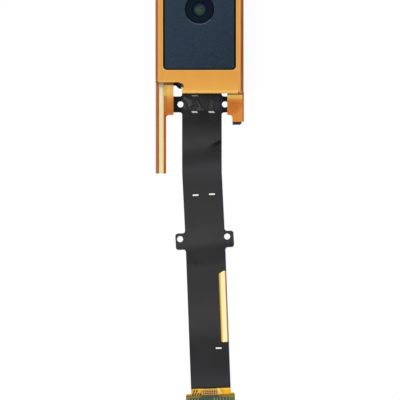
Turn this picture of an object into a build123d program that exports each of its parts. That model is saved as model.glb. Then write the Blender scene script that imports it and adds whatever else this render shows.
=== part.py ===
from build123d import *
from math import cos, radians, sin
import os

# Phone camera module with a folded frame circuit and a long flexible tail.
# Millimetres. The origin lies on the optical axis, in the module's back face.
# +Z points out of the lens and the tail runs along -Y to its connector.

os.makedirs("parts", exist_ok=True)

# Shield can
can_width = 11.8
can_length = 15.8
can_wall = 0.15
can_corner = 0.55
can_edge = 0.25
can_top = 6.1
aperture_play = 0.1
aperture_edge = 0.08

# Boards under the can
back_plate_thick = 0.2
board_thick = 0.4
board_margin = 0.7
board_end_margin = 1.5
back_plate_margin = 0.6
plate_corner = 0.4

# Moulded housing around the can
can_gap = 0.15
housing_wall = 1.1
housing_top_wall = 1.0
left_wall_reach = 2.03
end_wall_reach = 3.02
foot_reach = 0.45
foot_height = 0.35
wall_step_inset = 0.47
wall_step_width = 1.0
foot_step_width = 0.54
board_play = 0.05
exit_play = 0.15
exit_headroom = 0.1

# Folded frame circuit
film = 0.15
can_proud = 0.1
bend_inner = 0.3
tail_bend_inner = 0.5
side_flap_foot = 1.2
end_lip_foot = 3.6
fold_slit = 0.2
left_fold_reach = left_wall_reach + film
end_fold_reach = 3.98
notch_width = 1.42
notch_corner = 0.65
edge_bend_play = 0.1

# Circuit tails of the frame, left and right: widths, and reaches past the can's end
left_root_width = 2.96
left_tail_width = 1.74
left_tail_reach = 17.27
root_reach = 7.52
root_corner = 0.5
right_tail_proud = 0.1
right_root_width = 2.78
right_tail_width = 1.93
right_tail_reach = 8.65
left_tail_droop = 0.2
tail_wave_radii = [30.0, 30.0]
tail_flat = 1.0
fold_overlap = 1.0

# Gold strip on the left tail and chip on the right one
plating_strip = 0.06
left_strip_inset = 0.48
left_strip_width = 0.87
left_strip_rise = 1.6
tail_chip_width = 1.5
tail_chip_length = 1.05
tail_chip_height = 0.3
tail_chip_overhang = 0.5
tail_chip_corner = 0.25
tail_chip_inset = 0.03

# Main flexible circuit
flex_width = 6.6
flex_exit_x = 0.4
flex_mid_height = 0.325
first_lean = 2.8
second_lean = 2.15
straight_reach = 16.9
first_lean_length = 11.5
second_lean_length = 24.6
lean_radius = 40.0
wave_radius = 35.0
first_crest_share = 0.3
first_crest_height = 0.7
first_trough_share = 0.65
first_trough_height = 0.25
ear_flat_height = 0.45
second_trough_share = 0.35
second_trough_height = 0.2
second_crest_share = 0.72
second_crest_height = 0.5
exit_flat = 2.0
end_flat = 1.0
cover_step = 0.03

# Ears of the main circuit and their tooling holes
hole_radius = 0.5
ear_corner = 0.45
ear_inner_corner = 0.4
upper_ear_reach = 5.76
upper_ear_height = 2.66
upper_ear_half_width = 6.9
upper_hole_left = -3.17
upper_hole_right = 4.25
ear_width = 9.71
ear_height = 2.75
ear_shift = -0.1
ear_turn = 3.2
ear_hole_left = -4.18
ear_hole_right = 3.67
ear_hole_rise = 0.42

# Tape at the exit and gold strip on the tail
tape = 0.06
tape_width = 6.2
tape_reach = 4.2
ground_strip_width = 1.34
ground_strip_length = 11.85
ground_strip_start = 5.2
ground_strip_offset = 2.6
ground_strip_corner = 0.35
ground_strip_slant_x = 0.62
ground_strip_slant_y = 0.5

# Connector end
end_width = 8.15
end_offset = -0.12
end_corner = 0.35
end_shoulder = 0.4
board_start = 1.3
connector_board_length = 5.1
connector_board_thick = 0.3
connector_board_corner = 0.3
connector_plate_thick = 0.25
connector_plate_margin = 0.15
connector_length = 7.4
connector_width = 2.2
connector_height = 0.72
connector_floor = 0.12
connector_corner = 0.15
connector_side_wall = 0.45
connector_end_wall = 0.5
connector_place = 3.2
contact_pitch = 0.4
contact_count = 15
contact_width = 0.16
contact_thick = 0.06
contact_tail = 0.35
contact_depth = 0.45
clamp_play = 0.15
clamp_tail = 0.25
clamp_lap = 0.4
small_chip_width = 0.7
small_chip_depth = 0.45
small_chip_height = 0.35
small_chip_place = 0.6
small_chip_pitch = 1.0
left_chip_centre = -2.8
left_chip_count = 2
right_chip_centre = 1.9
right_chip_count = 3

# Sensor and its filter
sensor_width = 6.4
sensor_depth = 5.2
sensor_thick = 0.2
holder_inset = 0.3
holder_depth = 9.6
holder_height = 0.75
holder_roof = 0.35
holder_wall = 1.1
window_width = 5.6
window_depth = 4.4
filter_width = 6.5
filter_depth = 5.3
filter_thick = 0.2
filter_play = 0.05

# Focus actuator
actuator_play = 0.05
yoke_corner = 0.25
base_thick = 0.6
base_bore_play = 0.25
spring_relief = 0.15
spring_relief_rim = 0.9
post_size = 1.0
post_inset = 0.3
yoke_wall = 0.2
magnet_end_gap = 3.1
magnet_thick = 0.6
magnet_height = 2.4
magnet_lift = 0.4
spring_thick = 0.05
spring_frame_width = 0.4
spring_frame_inset = 0.05
spring_pad = 1.4
spring_ring_inset = 0.18
spring_ring_width = 0.5
spring_arm_width = 0.14
spring_arm_start = 1.2
post_play = 0.05
stopper_play = 0.15
magnet_column = 3.4

# Lens carrier, coil and barrel
thread_play = 0.02
carrier_sides = 8
carrier_wall = 0.75
magnet_gap = 0.5
carrier_foot_height = 0.5
carrier_collar_height = 0.6
coil_thick = 0.36
coil_play = 0.02
barrel_wall = 0.5
barrel_foot_lift = 0.45
barrel_shoulder_drop = 0.9
nose_wall = 0.7
nose_drop = 0.1
front_wall = 0.5
mouth_flare = 0.3

# Lens elements, from the front one to the rear one
seat_play = 0.01
bore_step = 0.57
lens_rim = 0.55
front_lens_edge = 0.35
second_lens_edge = 0.35
third_lens_edge = 0.5
rear_lens_edge = 0.7
front_lens_bulge = 0.24
second_lens_hollow = 0.14
third_lens_bulge = 0.1
rear_lens_hollow = 0.2
spacer_thick = 0.15
spacer_rim = 0.3
retaining_ring_height = 0.3
retaining_ring_rim = 0.5

# Chips in the can's side compartment
driver_chip_width = 2.4
driver_chip_depth = 1.6
memory_chip_width = 1.6
memory_chip_depth = 1.2
chip_height = 0.4
driver_chip_x = -2.9
memory_chip_x = 0.6
capacitor_length = 0.6
capacitor_width = 0.3
capacitor_height = 0.3
capacitor_x = 3.6
capacitor_pitch_x = 1.1
capacitor_pitch_y = 0.8
capacitor_columns = 2
capacitor_rows = 3

# Levels worked out from the stack
board_bottom = back_plate_thick
board_top = board_bottom + board_thick
can_underside = can_top - can_wall
face_top = can_top - can_proud
housing_top = face_top - film
holder_top = board_top + holder_height
base_top = holder_top + base_thick
lower_spring_top = base_top + spring_thick
upper_spring_bottom = lower_spring_top + magnet_column
upper_spring_top = upper_spring_bottom + spring_thick

# Places worked out from the can, whose square end with the lens is as deep as it is wide
can_half = can_width / 2
can_top_y = can_half
can_end_y = can_top_y - can_length
can_mid_y = can_top_y - can_length / 2
actuator_size = can_width - 2 * can_wall - 2 * actuator_play
actuator_half = actuator_size / 2
housing_half = can_half + can_gap + housing_wall
module_top_y = can_top_y + can_gap + housing_top_wall
left_wall_y = can_end_y - left_wall_reach
end_wall_y = can_end_y - end_wall_reach
left_fold_y = can_end_y - left_fold_reach
end_fold_y = can_end_y - end_fold_reach
board_half = can_half + board_margin
board_top_y = can_top_y + board_margin
board_end_y = can_end_y - board_end_margin
flex_top = flex_mid_height + film / 2
tail_mid = flex_top + film / 2
bend_outer = bend_inner + film
bend_mid = bend_inner + film / 2
tail_bend_mid = tail_bend_inner + film / 2
fold_line_x = housing_half + film - bend_outer
left_tail_edge = -housing_half - film
left_root_edge = left_tail_edge + left_root_width
left_tail_inner = left_tail_edge + left_tail_width
left_tail_end_y = can_end_y - left_tail_reach
root_end_y = can_end_y - root_reach
right_tail_edge = housing_half + film + right_tail_proud
right_root_edge = right_tail_edge - right_root_width
right_tail_inner = right_tail_edge - right_tail_width
right_tail_end_y = can_end_y - right_tail_reach
notch_x = left_root_edge + notch_width
wall_step_x = left_root_edge + wall_step_inset
straight_end_y = can_end_y - straight_reach
upper_ear_y = can_end_y - upper_ear_reach
tape_start_y = can_end_y - tape_reach
chip_row_y = (can_end_y + can_wall - actuator_half) / 2

# Radii worked out from the actuator, from the magnets inwards
carrier_flange = actuator_half - yoke_wall - magnet_thick - magnet_gap
carrier_recess = carrier_flange - coil_thick - coil_play
barrel_radius = carrier_recess - carrier_wall - thread_play
rear_lens_radius = barrel_radius - barrel_wall - seat_play
third_lens_radius = rear_lens_radius - bore_step
front_lens_radius = third_lens_radius - bore_step
front_throat = front_lens_radius - lens_rim
nose_radius = front_lens_radius + nose_wall
aperture_radius = nose_radius + aperture_play

# A block around the main circuit, for the cuts that run across it
flex_reach = 2 * upper_ear_half_width
flex_ceiling = 2 * first_crest_height


def rectangle_between(x_low, x_high, y_low, y_high):
    """A plain rectangle in the current sketch, given by its four sides."""
    with Locations(((x_low + x_high) / 2, (y_low + y_high) / 2)):
        Rectangle(x_high - x_low, y_high - y_low)


def point_along(start, lean, length):
    """The point that lies a length further down the tail, leaning towards +X."""
    turn = radians(lean)
    return (start[0] + length * sin(turn), start[1] - length * cos(turn))


# Centreline of the main circuit, seen from above
flex_start = (flex_exit_x, board_end_y)
straight_end = (flex_exit_x, straight_end_y)
ear_centre = point_along(straight_end, first_lean, first_lean_length)
cover_end = point_along(ear_centre, second_lean, second_lean_length)
board_edge = point_along(cover_end, second_lean, board_start)
flex_end = point_along(board_edge, second_lean, connector_board_length)

def between(start, end, share):
    """The place at some share of the way between two places."""
    return start + (end - start) * share


# Wave of the main circuit, seen from the side: distance along Y and height of its middle
exit_flat_y = upper_ear_y - upper_ear_height / 2 - exit_flat
ear_near_y = ear_centre[1] + ear_height / 2 + ear_inner_corner
ear_far_y = ear_centre[1] - ear_height / 2 - ear_inner_corner
end_flat_y = cover_end[1] + end_flat
wave_points = [
    (board_end_y, flex_mid_height),
    (exit_flat_y, flex_mid_height),
    (between(exit_flat_y, ear_near_y, first_crest_share), first_crest_height),
    (between(exit_flat_y, ear_near_y, first_trough_share), first_trough_height),
    (ear_near_y, ear_flat_height),
    (ear_far_y, ear_flat_height),
    (between(ear_far_y, end_flat_y, second_trough_share), second_trough_height),
    (between(ear_far_y, end_flat_y, second_crest_share), second_crest_height),
    (end_flat_y, flex_mid_height),
    (flex_end[1] - end_flat, flex_mid_height),
]


def film_view(x, line, radii, thickness=film):
    """Side view, at some place along X, of a film that follows a folded or wavy line."""
    with BuildSketch(Plane.YZ.offset(x)) as side_view:
        with BuildLine():
            FilletPolyline(*line, radius=radii)
        trace(line_width=thickness)
    return side_view.sketch


def lifted(line, lift):
    """The same side line, moved up."""
    return [(y, z + lift) for y, z in line]


# Frames of the leaning pieces
ear_frame = Plane(
    origin=(*ear_centre, 0), x_dir=(cos(radians(ear_turn)), sin(radians(ear_turn)), 0)
)
strip_frame = Plane(
    origin=(*ear_centre, 0), x_dir=(cos(radians(second_lean)), sin(radians(second_lean)), 0)
)
end_frame = Plane(origin=(*cover_end, 0), x_dir=strip_frame.x_dir)
board_origin = (
    board_edge[0] + end_offset * cos(radians(second_lean)),
    board_edge[1] + end_offset * sin(radians(second_lean)),
)
board_frame = Plane(origin=(*board_origin, 0), x_dir=strip_frame.x_dir)

# Back plate: a steel sheet under the sensor board
with BuildPart() as back_plate:
    with BuildSketch() as plate_plan:
        rectangle_between(
            -can_half - back_plate_margin,
            can_half + back_plate_margin,
            board_end_y + board_margin - back_plate_margin,
            can_top_y + back_plate_margin,
        )
        chamfer(plate_plan.vertices(), plate_corner)
    extrude(amount=back_plate_thick)
back_plate.part.label = "back_plate"
export_step(back_plate.part, "parts/back_plate.step")

# Sensor board: the stiff circuit board that carries the can and everything in it
with BuildPart() as sensor_board:
    with BuildSketch(Plane.XY.offset(board_bottom)):
        rectangle_between(-board_half, board_half, board_end_y, board_top_y)
    extrude(amount=board_thick)
sensor_board.part.label = "sensor_board"
export_step(sensor_board.part, "parts/sensor_board.step")

# Image sensor: the silicon die on the optical axis
with BuildPart() as image_sensor:
    with BuildSketch(Plane.XY.offset(board_top)):
        Rectangle(sensor_width, sensor_depth)
    extrude(amount=sensor_thick)
image_sensor.part.label = "image_sensor"
export_step(image_sensor.part, "parts/image_sensor.step")

# Filter holder: a moulded lid over the sensor, with a window and a seat for the filter
holder_width = actuator_size - 2 * holder_inset
with BuildPart() as filter_holder:
    with BuildSketch(Plane.XY.offset(board_top)):
        Rectangle(holder_width, holder_depth)
    extrude(amount=holder_height)
    with BuildSketch(Plane.XY.offset(board_top)):
        Rectangle(holder_width - 2 * holder_wall, holder_depth - 2 * holder_wall)
    extrude(amount=holder_height - holder_roof, mode=Mode.SUBTRACT)
    with BuildSketch(Plane.XY.offset(board_top)):
        Rectangle(window_width, window_depth)
    extrude(amount=holder_height, mode=Mode.SUBTRACT)
    with BuildSketch(Plane.XY.offset(holder_top - filter_thick)):
        Rectangle(filter_width + 2 * filter_play, filter_depth + 2 * filter_play)
    extrude(amount=filter_thick, mode=Mode.SUBTRACT)
filter_holder.part.label = "filter_holder"
export_step(filter_holder.part, "parts/filter_holder.step")

# Infrared filter: a thin glass plate that lies flush in the holder
with BuildPart() as infrared_filter:
    with BuildSketch(Plane.XY.offset(holder_top - filter_thick)):
        Rectangle(filter_width, filter_depth)
    extrude(amount=filter_thick)
infrared_filter.part.label = "infrared_filter"
export_step(infrared_filter.part, "parts/infrared_filter.step")

# Actuator base: a moulded square with a round light path and a post in each corner
post_place = actuator_half - post_inset - post_size / 2
with BuildPart() as actuator_base:
    with BuildSketch(Plane.XY.offset(holder_top)):
        Rectangle(actuator_size, actuator_size)
        Circle(barrel_radius + base_bore_play, mode=Mode.SUBTRACT)
    extrude(amount=base_thick)
    with BuildSketch(Plane.XY.offset(base_top - spring_relief)):
        Rectangle(actuator_size - 2 * spring_relief_rim, actuator_size - 2 * spring_relief_rim)
    extrude(amount=spring_relief, mode=Mode.SUBTRACT)
    with BuildSketch(Plane.XY.offset(holder_top)):
        with GridLocations(2 * post_place, 2 * post_place, 2, 2):
            Rectangle(post_size, post_size)
    extrude(amount=upper_spring_bottom - holder_top)
actuator_base.part.label = "actuator_base"
export_step(actuator_base.part, "parts/actuator_base.step")


def leaf_spring_plan(height, post_holes):
    """Plan of a leaf spring: square outer frame, round inner ring and four angled arms."""
    pad_place = spring_half - spring_pad / 2
    with BuildSketch(Plane.XY.offset(height)) as plan:
        Rectangle(2 * spring_half, 2 * spring_half)
        Rectangle(2 * spring_inner, 2 * spring_inner, mode=Mode.SUBTRACT)
        with GridLocations(2 * pad_place, 2 * pad_place, 2, 2):
            Rectangle(spring_pad, spring_pad)
        if post_holes:
            with GridLocations(2 * post_place, 2 * post_place, 2, 2):
                Rectangle(post_size + 2 * post_play, post_size + 2 * post_play, mode=Mode.SUBTRACT)
        with PolarLocations(0, 4):
            add(spring_arm.sketch)
        Circle(spring_ring_outer)
        Circle(spring_ring_inner, mode=Mode.SUBTRACT)
    return plan.sketch


# One arm of a leaf spring: out from the ring, then along the frame's side to the corner pad
spring_half = actuator_half - spring_frame_inset
spring_inner = spring_half - spring_frame_width
spring_ring_inner = barrel_radius + thread_play + spring_ring_inset
spring_ring_outer = spring_ring_inner + spring_ring_width
spring_arm_place = (spring_ring_outer + spring_inner) / 2
with BuildSketch() as spring_arm:
    with BuildLine():
        Polyline(
            (spring_ring_inner, -spring_arm_start),
            (spring_arm_place, -spring_arm_start),
            (spring_arm_place, spring_half - spring_pad + spring_arm_width),
        )
    trace(line_width=spring_arm_width)

# Lower leaf spring: carries the foot of the lens carrier
with BuildPart() as lower_leaf_spring:
    extrude(leaf_spring_plan(base_top, post_holes=True), amount=spring_thick)
lower_leaf_spring.part.label = "lower_leaf_spring"
export_step(lower_leaf_spring.part, "parts/lower_leaf_spring.step")

# Upper leaf spring: lies on the four posts and on the carrier's collar
with BuildPart() as upper_leaf_spring:
    extrude(leaf_spring_plan(upper_spring_bottom, post_holes=False), amount=spring_thick)
upper_leaf_spring.part.label = "upper_leaf_spring"
export_step(upper_leaf_spring.part, "parts/upper_leaf_spring.step")

# Magnet yoke: a soft iron band around the four magnets
with BuildPart() as magnet_yoke:
    with BuildSketch(Plane.XY.offset(lower_spring_top)) as yoke_plan:
        Rectangle(actuator_size, actuator_size)
        chamfer(yoke_plan.vertices(), yoke_corner)
        Rectangle(actuator_size - 2 * yoke_wall, actuator_size - 2 * yoke_wall, mode=Mode.SUBTRACT)
    extrude(amount=magnet_column)
magnet_yoke.part.label = "magnet_yoke"
export_step(magnet_yoke.part, "parts/magnet_yoke.step")

# Drive magnets: four flat bars on the inner faces of the yoke
magnet_place = actuator_half - yoke_wall - magnet_thick / 2
magnet_length = actuator_size - 2 * magnet_end_gap
with BuildPart() as drive_magnets:
    with BuildSketch(Plane.XY.offset(lower_spring_top + magnet_lift)):
        with PolarLocations(magnet_place, 4):
            Rectangle(magnet_thick, magnet_length)
    extrude(amount=magnet_height)
drive_magnets.part.label = "drive_magnets"
export_step(drive_magnets.part, "parts/drive_magnets.step")

# Stopper frame: clamps the upper spring under the can's roof
stopper_window = 2 * (carrier_flange + stopper_play)
with BuildPart() as stopper_frame:
    with BuildSketch(Plane.XY.offset(upper_spring_top)):
        Rectangle(actuator_size, actuator_size)
        Rectangle(stopper_window, stopper_window, mode=Mode.SUBTRACT)
    extrude(amount=can_underside - upper_spring_top)
stopper_frame.part.label = "stopper_frame"
export_step(stopper_frame.part, "parts/stopper_frame.step")


def bobbin_plan(reach, mode=Mode.ADD):
    """An eight-sided outline in the current sketch, its flats a given reach from the axis."""
    RegularPolygon(
        reach, carrier_sides, major_radius=False, rotation=180 / carrier_sides, mode=mode
    )


# Lens carrier: an eight-sided bobbin with a round bore for the barrel and a groove for the coil
carrier_bottom = lower_spring_top
carrier_top = upper_spring_bottom
groove_bottom = carrier_bottom + carrier_foot_height
groove_top = carrier_top - carrier_collar_height
with BuildPart() as lens_carrier:
    with BuildSketch(Plane.XY.offset(carrier_bottom)):
        bobbin_plan(carrier_flange)
    extrude(amount=carrier_top - carrier_bottom)
    with BuildSketch(Plane.XY.offset(groove_bottom)):
        bobbin_plan(carrier_flange)
        bobbin_plan(carrier_recess, mode=Mode.SUBTRACT)
    extrude(amount=groove_top - groove_bottom, mode=Mode.SUBTRACT)
    with BuildSketch(Plane.XY.offset(carrier_bottom)):
        Circle(barrel_radius + thread_play)
    extrude(amount=carrier_top - carrier_bottom, mode=Mode.SUBTRACT)
lens_carrier.part.label = "lens_carrier"
export_step(lens_carrier.part, "parts/lens_carrier.step")

# Focus coil: the copper winding in the carrier's groove, its flats facing the magnets
with BuildPart() as focus_coil:
    with BuildSketch(Plane.XY.offset(groove_bottom + coil_play)):
        bobbin_plan(carrier_flange)
        bobbin_plan(carrier_recess + coil_play, mode=Mode.SUBTRACT)
    extrude(amount=groove_top - groove_bottom - 2 * coil_play)
focus_coil.part.label = "focus_coil"
export_step(focus_coil.part, "parts/focus_coil.step")

# Seats of the lens elements, from the front wall of the barrel down
nose_top = can_underside - nose_drop
barrel_bottom = carrier_bottom + barrel_foot_lift
front_seat = nose_top - front_wall
second_seat = front_seat - front_lens_edge
third_seat = second_seat - second_lens_edge
rear_step = third_seat - third_lens_edge
rear_seat = rear_step - spacer_thick
ring_seat = rear_seat - rear_lens_edge

# Lens barrel: one moulding with a stepped bore, a threaded skirt and a narrow nose
with BuildPart() as lens_barrel:
    with BuildSketch(Plane.XZ):
        with BuildLine():
            Polyline(
                (front_throat, front_seat),
                (front_lens_radius + seat_play, front_seat),
                (front_lens_radius + seat_play, third_seat),
                (third_lens_radius + seat_play, third_seat),
                (third_lens_radius + seat_play, rear_step),
                (rear_lens_radius + seat_play, rear_step),
                (rear_lens_radius + seat_play, barrel_bottom),
                (barrel_radius, barrel_bottom),
                (barrel_radius, nose_top - barrel_shoulder_drop),
                (nose_radius, nose_top - barrel_shoulder_drop),
                (nose_radius, nose_top),
                (front_throat + mouth_flare, nose_top),
                close=True,
            )
        make_face()
    revolve(axis=Axis.Z)
lens_barrel.part.label = "lens_barrel"
export_step(lens_barrel.part, "parts/lens_barrel.step")


def lens_profile(radius, top, edge, front_apex, rear_apex):
    """Half section of a lens element: a flat rim round one curved and one flat face."""
    clear = radius - lens_rim
    with BuildSketch(Plane.XZ) as profile:
        with BuildLine():
            if front_apex == top:
                Line((0, top), (clear, top))
                TangentArc((0, rear_apex), (clear, top - edge), tangent=(1, 0))
            else:
                TangentArc((0, front_apex), (clear, top), tangent=(1, 0))
                Line((0, rear_apex), (clear, top - edge))
            Polyline((clear, top), (radius, top), (radius, top - edge), (clear, top - edge))
            Line((0, rear_apex), (0, front_apex))
        make_face()
    return profile.sketch


# Front element: the small strong lens that shows in the aperture
with BuildPart() as front_element:
    front_bottom = front_seat - front_lens_edge
    front_apex = front_seat + front_lens_bulge
    revolve(
        lens_profile(front_lens_radius, front_seat, front_lens_edge, front_apex, front_bottom),
        axis=Axis.Z,
    )
front_element.part.label = "front_element"
export_step(front_element.part, "parts/front_element.step")

# Second element: hollow behind, its rim against the front element's
with BuildPart() as second_element:
    second_apex = second_seat - second_lens_edge + second_lens_hollow
    revolve(
        lens_profile(front_lens_radius, second_seat, second_lens_edge, second_seat, second_apex),
        axis=Axis.Z,
    )
second_element.part.label = "second_element"
export_step(second_element.part, "parts/second_element.step")

# Third element: bulges towards the sensor
with BuildPart() as third_element:
    third_apex = third_seat - third_lens_edge - third_lens_bulge
    revolve(
        lens_profile(third_lens_radius, third_seat, third_lens_edge, third_seat, third_apex),
        axis=Axis.Z,
    )
third_element.part.label = "third_element"
export_step(third_element.part, "parts/third_element.step")

# Rear element: the widest, hollow behind
with BuildPart() as rear_element:
    rear_apex = rear_seat - rear_lens_edge + rear_lens_hollow
    revolve(
        lens_profile(rear_lens_radius, rear_seat, rear_lens_edge, rear_seat, rear_apex),
        axis=Axis.Z,
    )
rear_element.part.label = "rear_element"
export_step(rear_element.part, "parts/rear_element.step")

# Spacer ring: a black ring between the rims where the bore steps out to the rear element
with BuildPart() as spacer_ring:
    with BuildSketch(Plane.XY.offset(rear_seat)):
        Circle(rear_lens_radius)
        Circle(third_lens_radius - spacer_rim, mode=Mode.SUBTRACT)
    extrude(amount=spacer_thick)
spacer_ring.part.label = "spacer_ring"
export_step(spacer_ring.part, "parts/spacer_ring.step")

# Retaining ring: holds the stack of elements in the barrel from behind
with BuildPart() as retaining_ring:
    with BuildSketch(Plane.XY.offset(ring_seat - retaining_ring_height)):
        Circle(rear_lens_radius)
        Circle(rear_lens_radius - retaining_ring_rim, mode=Mode.SUBTRACT)
    extrude(amount=retaining_ring_height)
retaining_ring.part.label = "retaining_ring"
export_step(retaining_ring.part, "parts/retaining_ring.step")

# Shield can: drawn from one sheet, open below, with the lens aperture in its roof
with BuildPart() as shield_can:
    with BuildSketch(Plane.XY.offset(board_top)):
        with Locations((0, can_mid_y)):
            RectangleRounded(can_width, can_length, can_corner)
    extrude(amount=can_top - board_top)
    fillet(shield_can.faces().sort_by(Axis.Z)[-1].edges(), can_edge)
    with BuildSketch(Plane.XY.offset(board_top)):
        with Locations((0, can_mid_y)):
            RectangleRounded(can_width - 2 * can_wall, can_length - 2 * can_wall, can_corner - can_wall)
    extrude(amount=can_underside - board_top, mode=Mode.SUBTRACT)
    with BuildSketch(Plane.XY.offset(can_underside)):
        Circle(aperture_radius)
    extrude(amount=can_wall, mode=Mode.SUBTRACT)
    top_circles = shield_can.edges().filter_by(GeomType.CIRCLE).group_by(Axis.Z)[-1]
    chamfer(top_circles.sort_by(SortBy.RADIUS)[-1], aperture_edge)
shield_can.part.label = "shield_can"
export_step(shield_can.part, "parts/shield_can.step")

# Focus driver: the larger chip beside the actuator
with BuildPart() as driver_chip:
    with BuildSketch(Plane.XY.offset(board_top)):
        with Locations((driver_chip_x, chip_row_y)):
            Rectangle(driver_chip_width, driver_chip_depth)
    extrude(amount=chip_height)
driver_chip.part.label = "driver_chip"
export_step(driver_chip.part, "parts/driver_chip.step")

# Memory chip: holds the module's calibration
with BuildPart() as memory_chip:
    with BuildSketch(Plane.XY.offset(board_top)):
        with Locations((memory_chip_x, chip_row_y)):
            Rectangle(memory_chip_width, memory_chip_depth)
    extrude(amount=chip_height)
memory_chip.part.label = "memory_chip"
export_step(memory_chip.part, "parts/memory_chip.step")

# Board capacitors: small ceramic blocks in rows beside the chips
with BuildPart() as board_capacitors:
    with BuildSketch(Plane.XY.offset(board_top)):
        with Locations((capacitor_x, chip_row_y)):
            with GridLocations(capacitor_pitch_x, capacitor_pitch_y, capacitor_columns, capacitor_rows):
                Rectangle(capacitor_length, capacitor_width)
    extrude(amount=capacitor_height)
board_capacitors.part.label = "board_capacitors"
export_step(board_capacitors.part, "parts/board_capacitors.step")

# Module housing: a moulded frame around the can, with a low foot past its end walls
exit_low = flex_exit_x - flex_width / 2 - exit_play
exit_high = flex_exit_x + flex_width / 2 + exit_play
with BuildPart() as module_housing:
    with BuildSketch() as wall_plan:
        with BuildLine():
            Polyline(
                (-housing_half, module_top_y),
                (housing_half, module_top_y),
                (housing_half, end_wall_y),
                (wall_step_x + wall_step_width, end_wall_y),
                (wall_step_x, left_wall_y),
                (-housing_half, left_wall_y),
                close=True,
            )
        make_face()
    extrude(amount=housing_top)
    side_edges = module_housing.edges().filter_by(Axis.Y).group_by(Axis.Z)[-1]
    left_end_edge = module_housing.edges().filter_by(Axis.X).group_by(Axis.Z)[-1].sort_by(Axis.X)[0]
    fillet([*side_edges, left_end_edge], bend_inner + edge_bend_play)
    with BuildSketch() as foot_plan:
        with BuildLine():
            Polyline(
                (-housing_half, left_wall_y),
                (-housing_half, left_wall_y - foot_reach),
                (wall_step_x, left_wall_y - foot_reach),
                (wall_step_x + foot_step_width, end_wall_y),
                (wall_step_x + wall_step_width, end_wall_y),
                (wall_step_x, left_wall_y),
                close=True,
            )
        make_face()
    extrude(amount=foot_height)
    with BuildSketch():
        with Locations((0, can_mid_y)):
            RectangleRounded(can_width + 2 * can_gap, can_length + 2 * can_gap, can_corner + can_gap)
    extrude(amount=housing_top, mode=Mode.SUBTRACT)
    with BuildSketch():
        rectangle_between(
            -board_half - board_play, board_half + board_play,
            board_end_y - board_play, board_top_y + board_play,
        )
    extrude(amount=board_top, mode=Mode.SUBTRACT)
    with BuildSketch():
        rectangle_between(exit_low, exit_high, end_wall_y, board_end_y)
    extrude(amount=flex_top + exit_headroom, mode=Mode.SUBTRACT)
module_housing.part.label = "module_housing"
export_step(module_housing.part, "parts/module_housing.step")

# Side views of the frame circuit's end folds, each a line along the middle of the film
face_mid = face_top - film / 2
left_fold_mid_y = left_fold_y + film / 2
end_fold_mid_y = end_fold_y + film / 2
fold_foot = face_top - bend_outer - fold_slit
left_tail_low = tail_mid - left_tail_droop
tail_ceiling = tail_mid + film
left_fold_line = [
    (left_fold_y + bend_outer + fold_overlap, face_mid),
    (left_fold_mid_y, face_mid),
    (left_fold_mid_y, fold_foot),
]
end_fold_line = [
    (end_fold_y + bend_outer + fold_overlap, face_mid),
    (end_fold_mid_y, face_mid),
    (end_fold_mid_y, fold_foot),
]
left_tail_line = [
    (left_fold_mid_y, fold_foot),
    (left_fold_mid_y, tail_mid),
    (root_end_y - tail_flat, tail_mid),
    (left_tail_end_y + tail_flat, left_tail_low),
    (left_tail_end_y, left_tail_low),
]
right_tail_line = [
    (end_fold_mid_y, fold_foot),
    (end_fold_mid_y, tail_mid),
    (right_tail_end_y, tail_mid),
]


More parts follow.
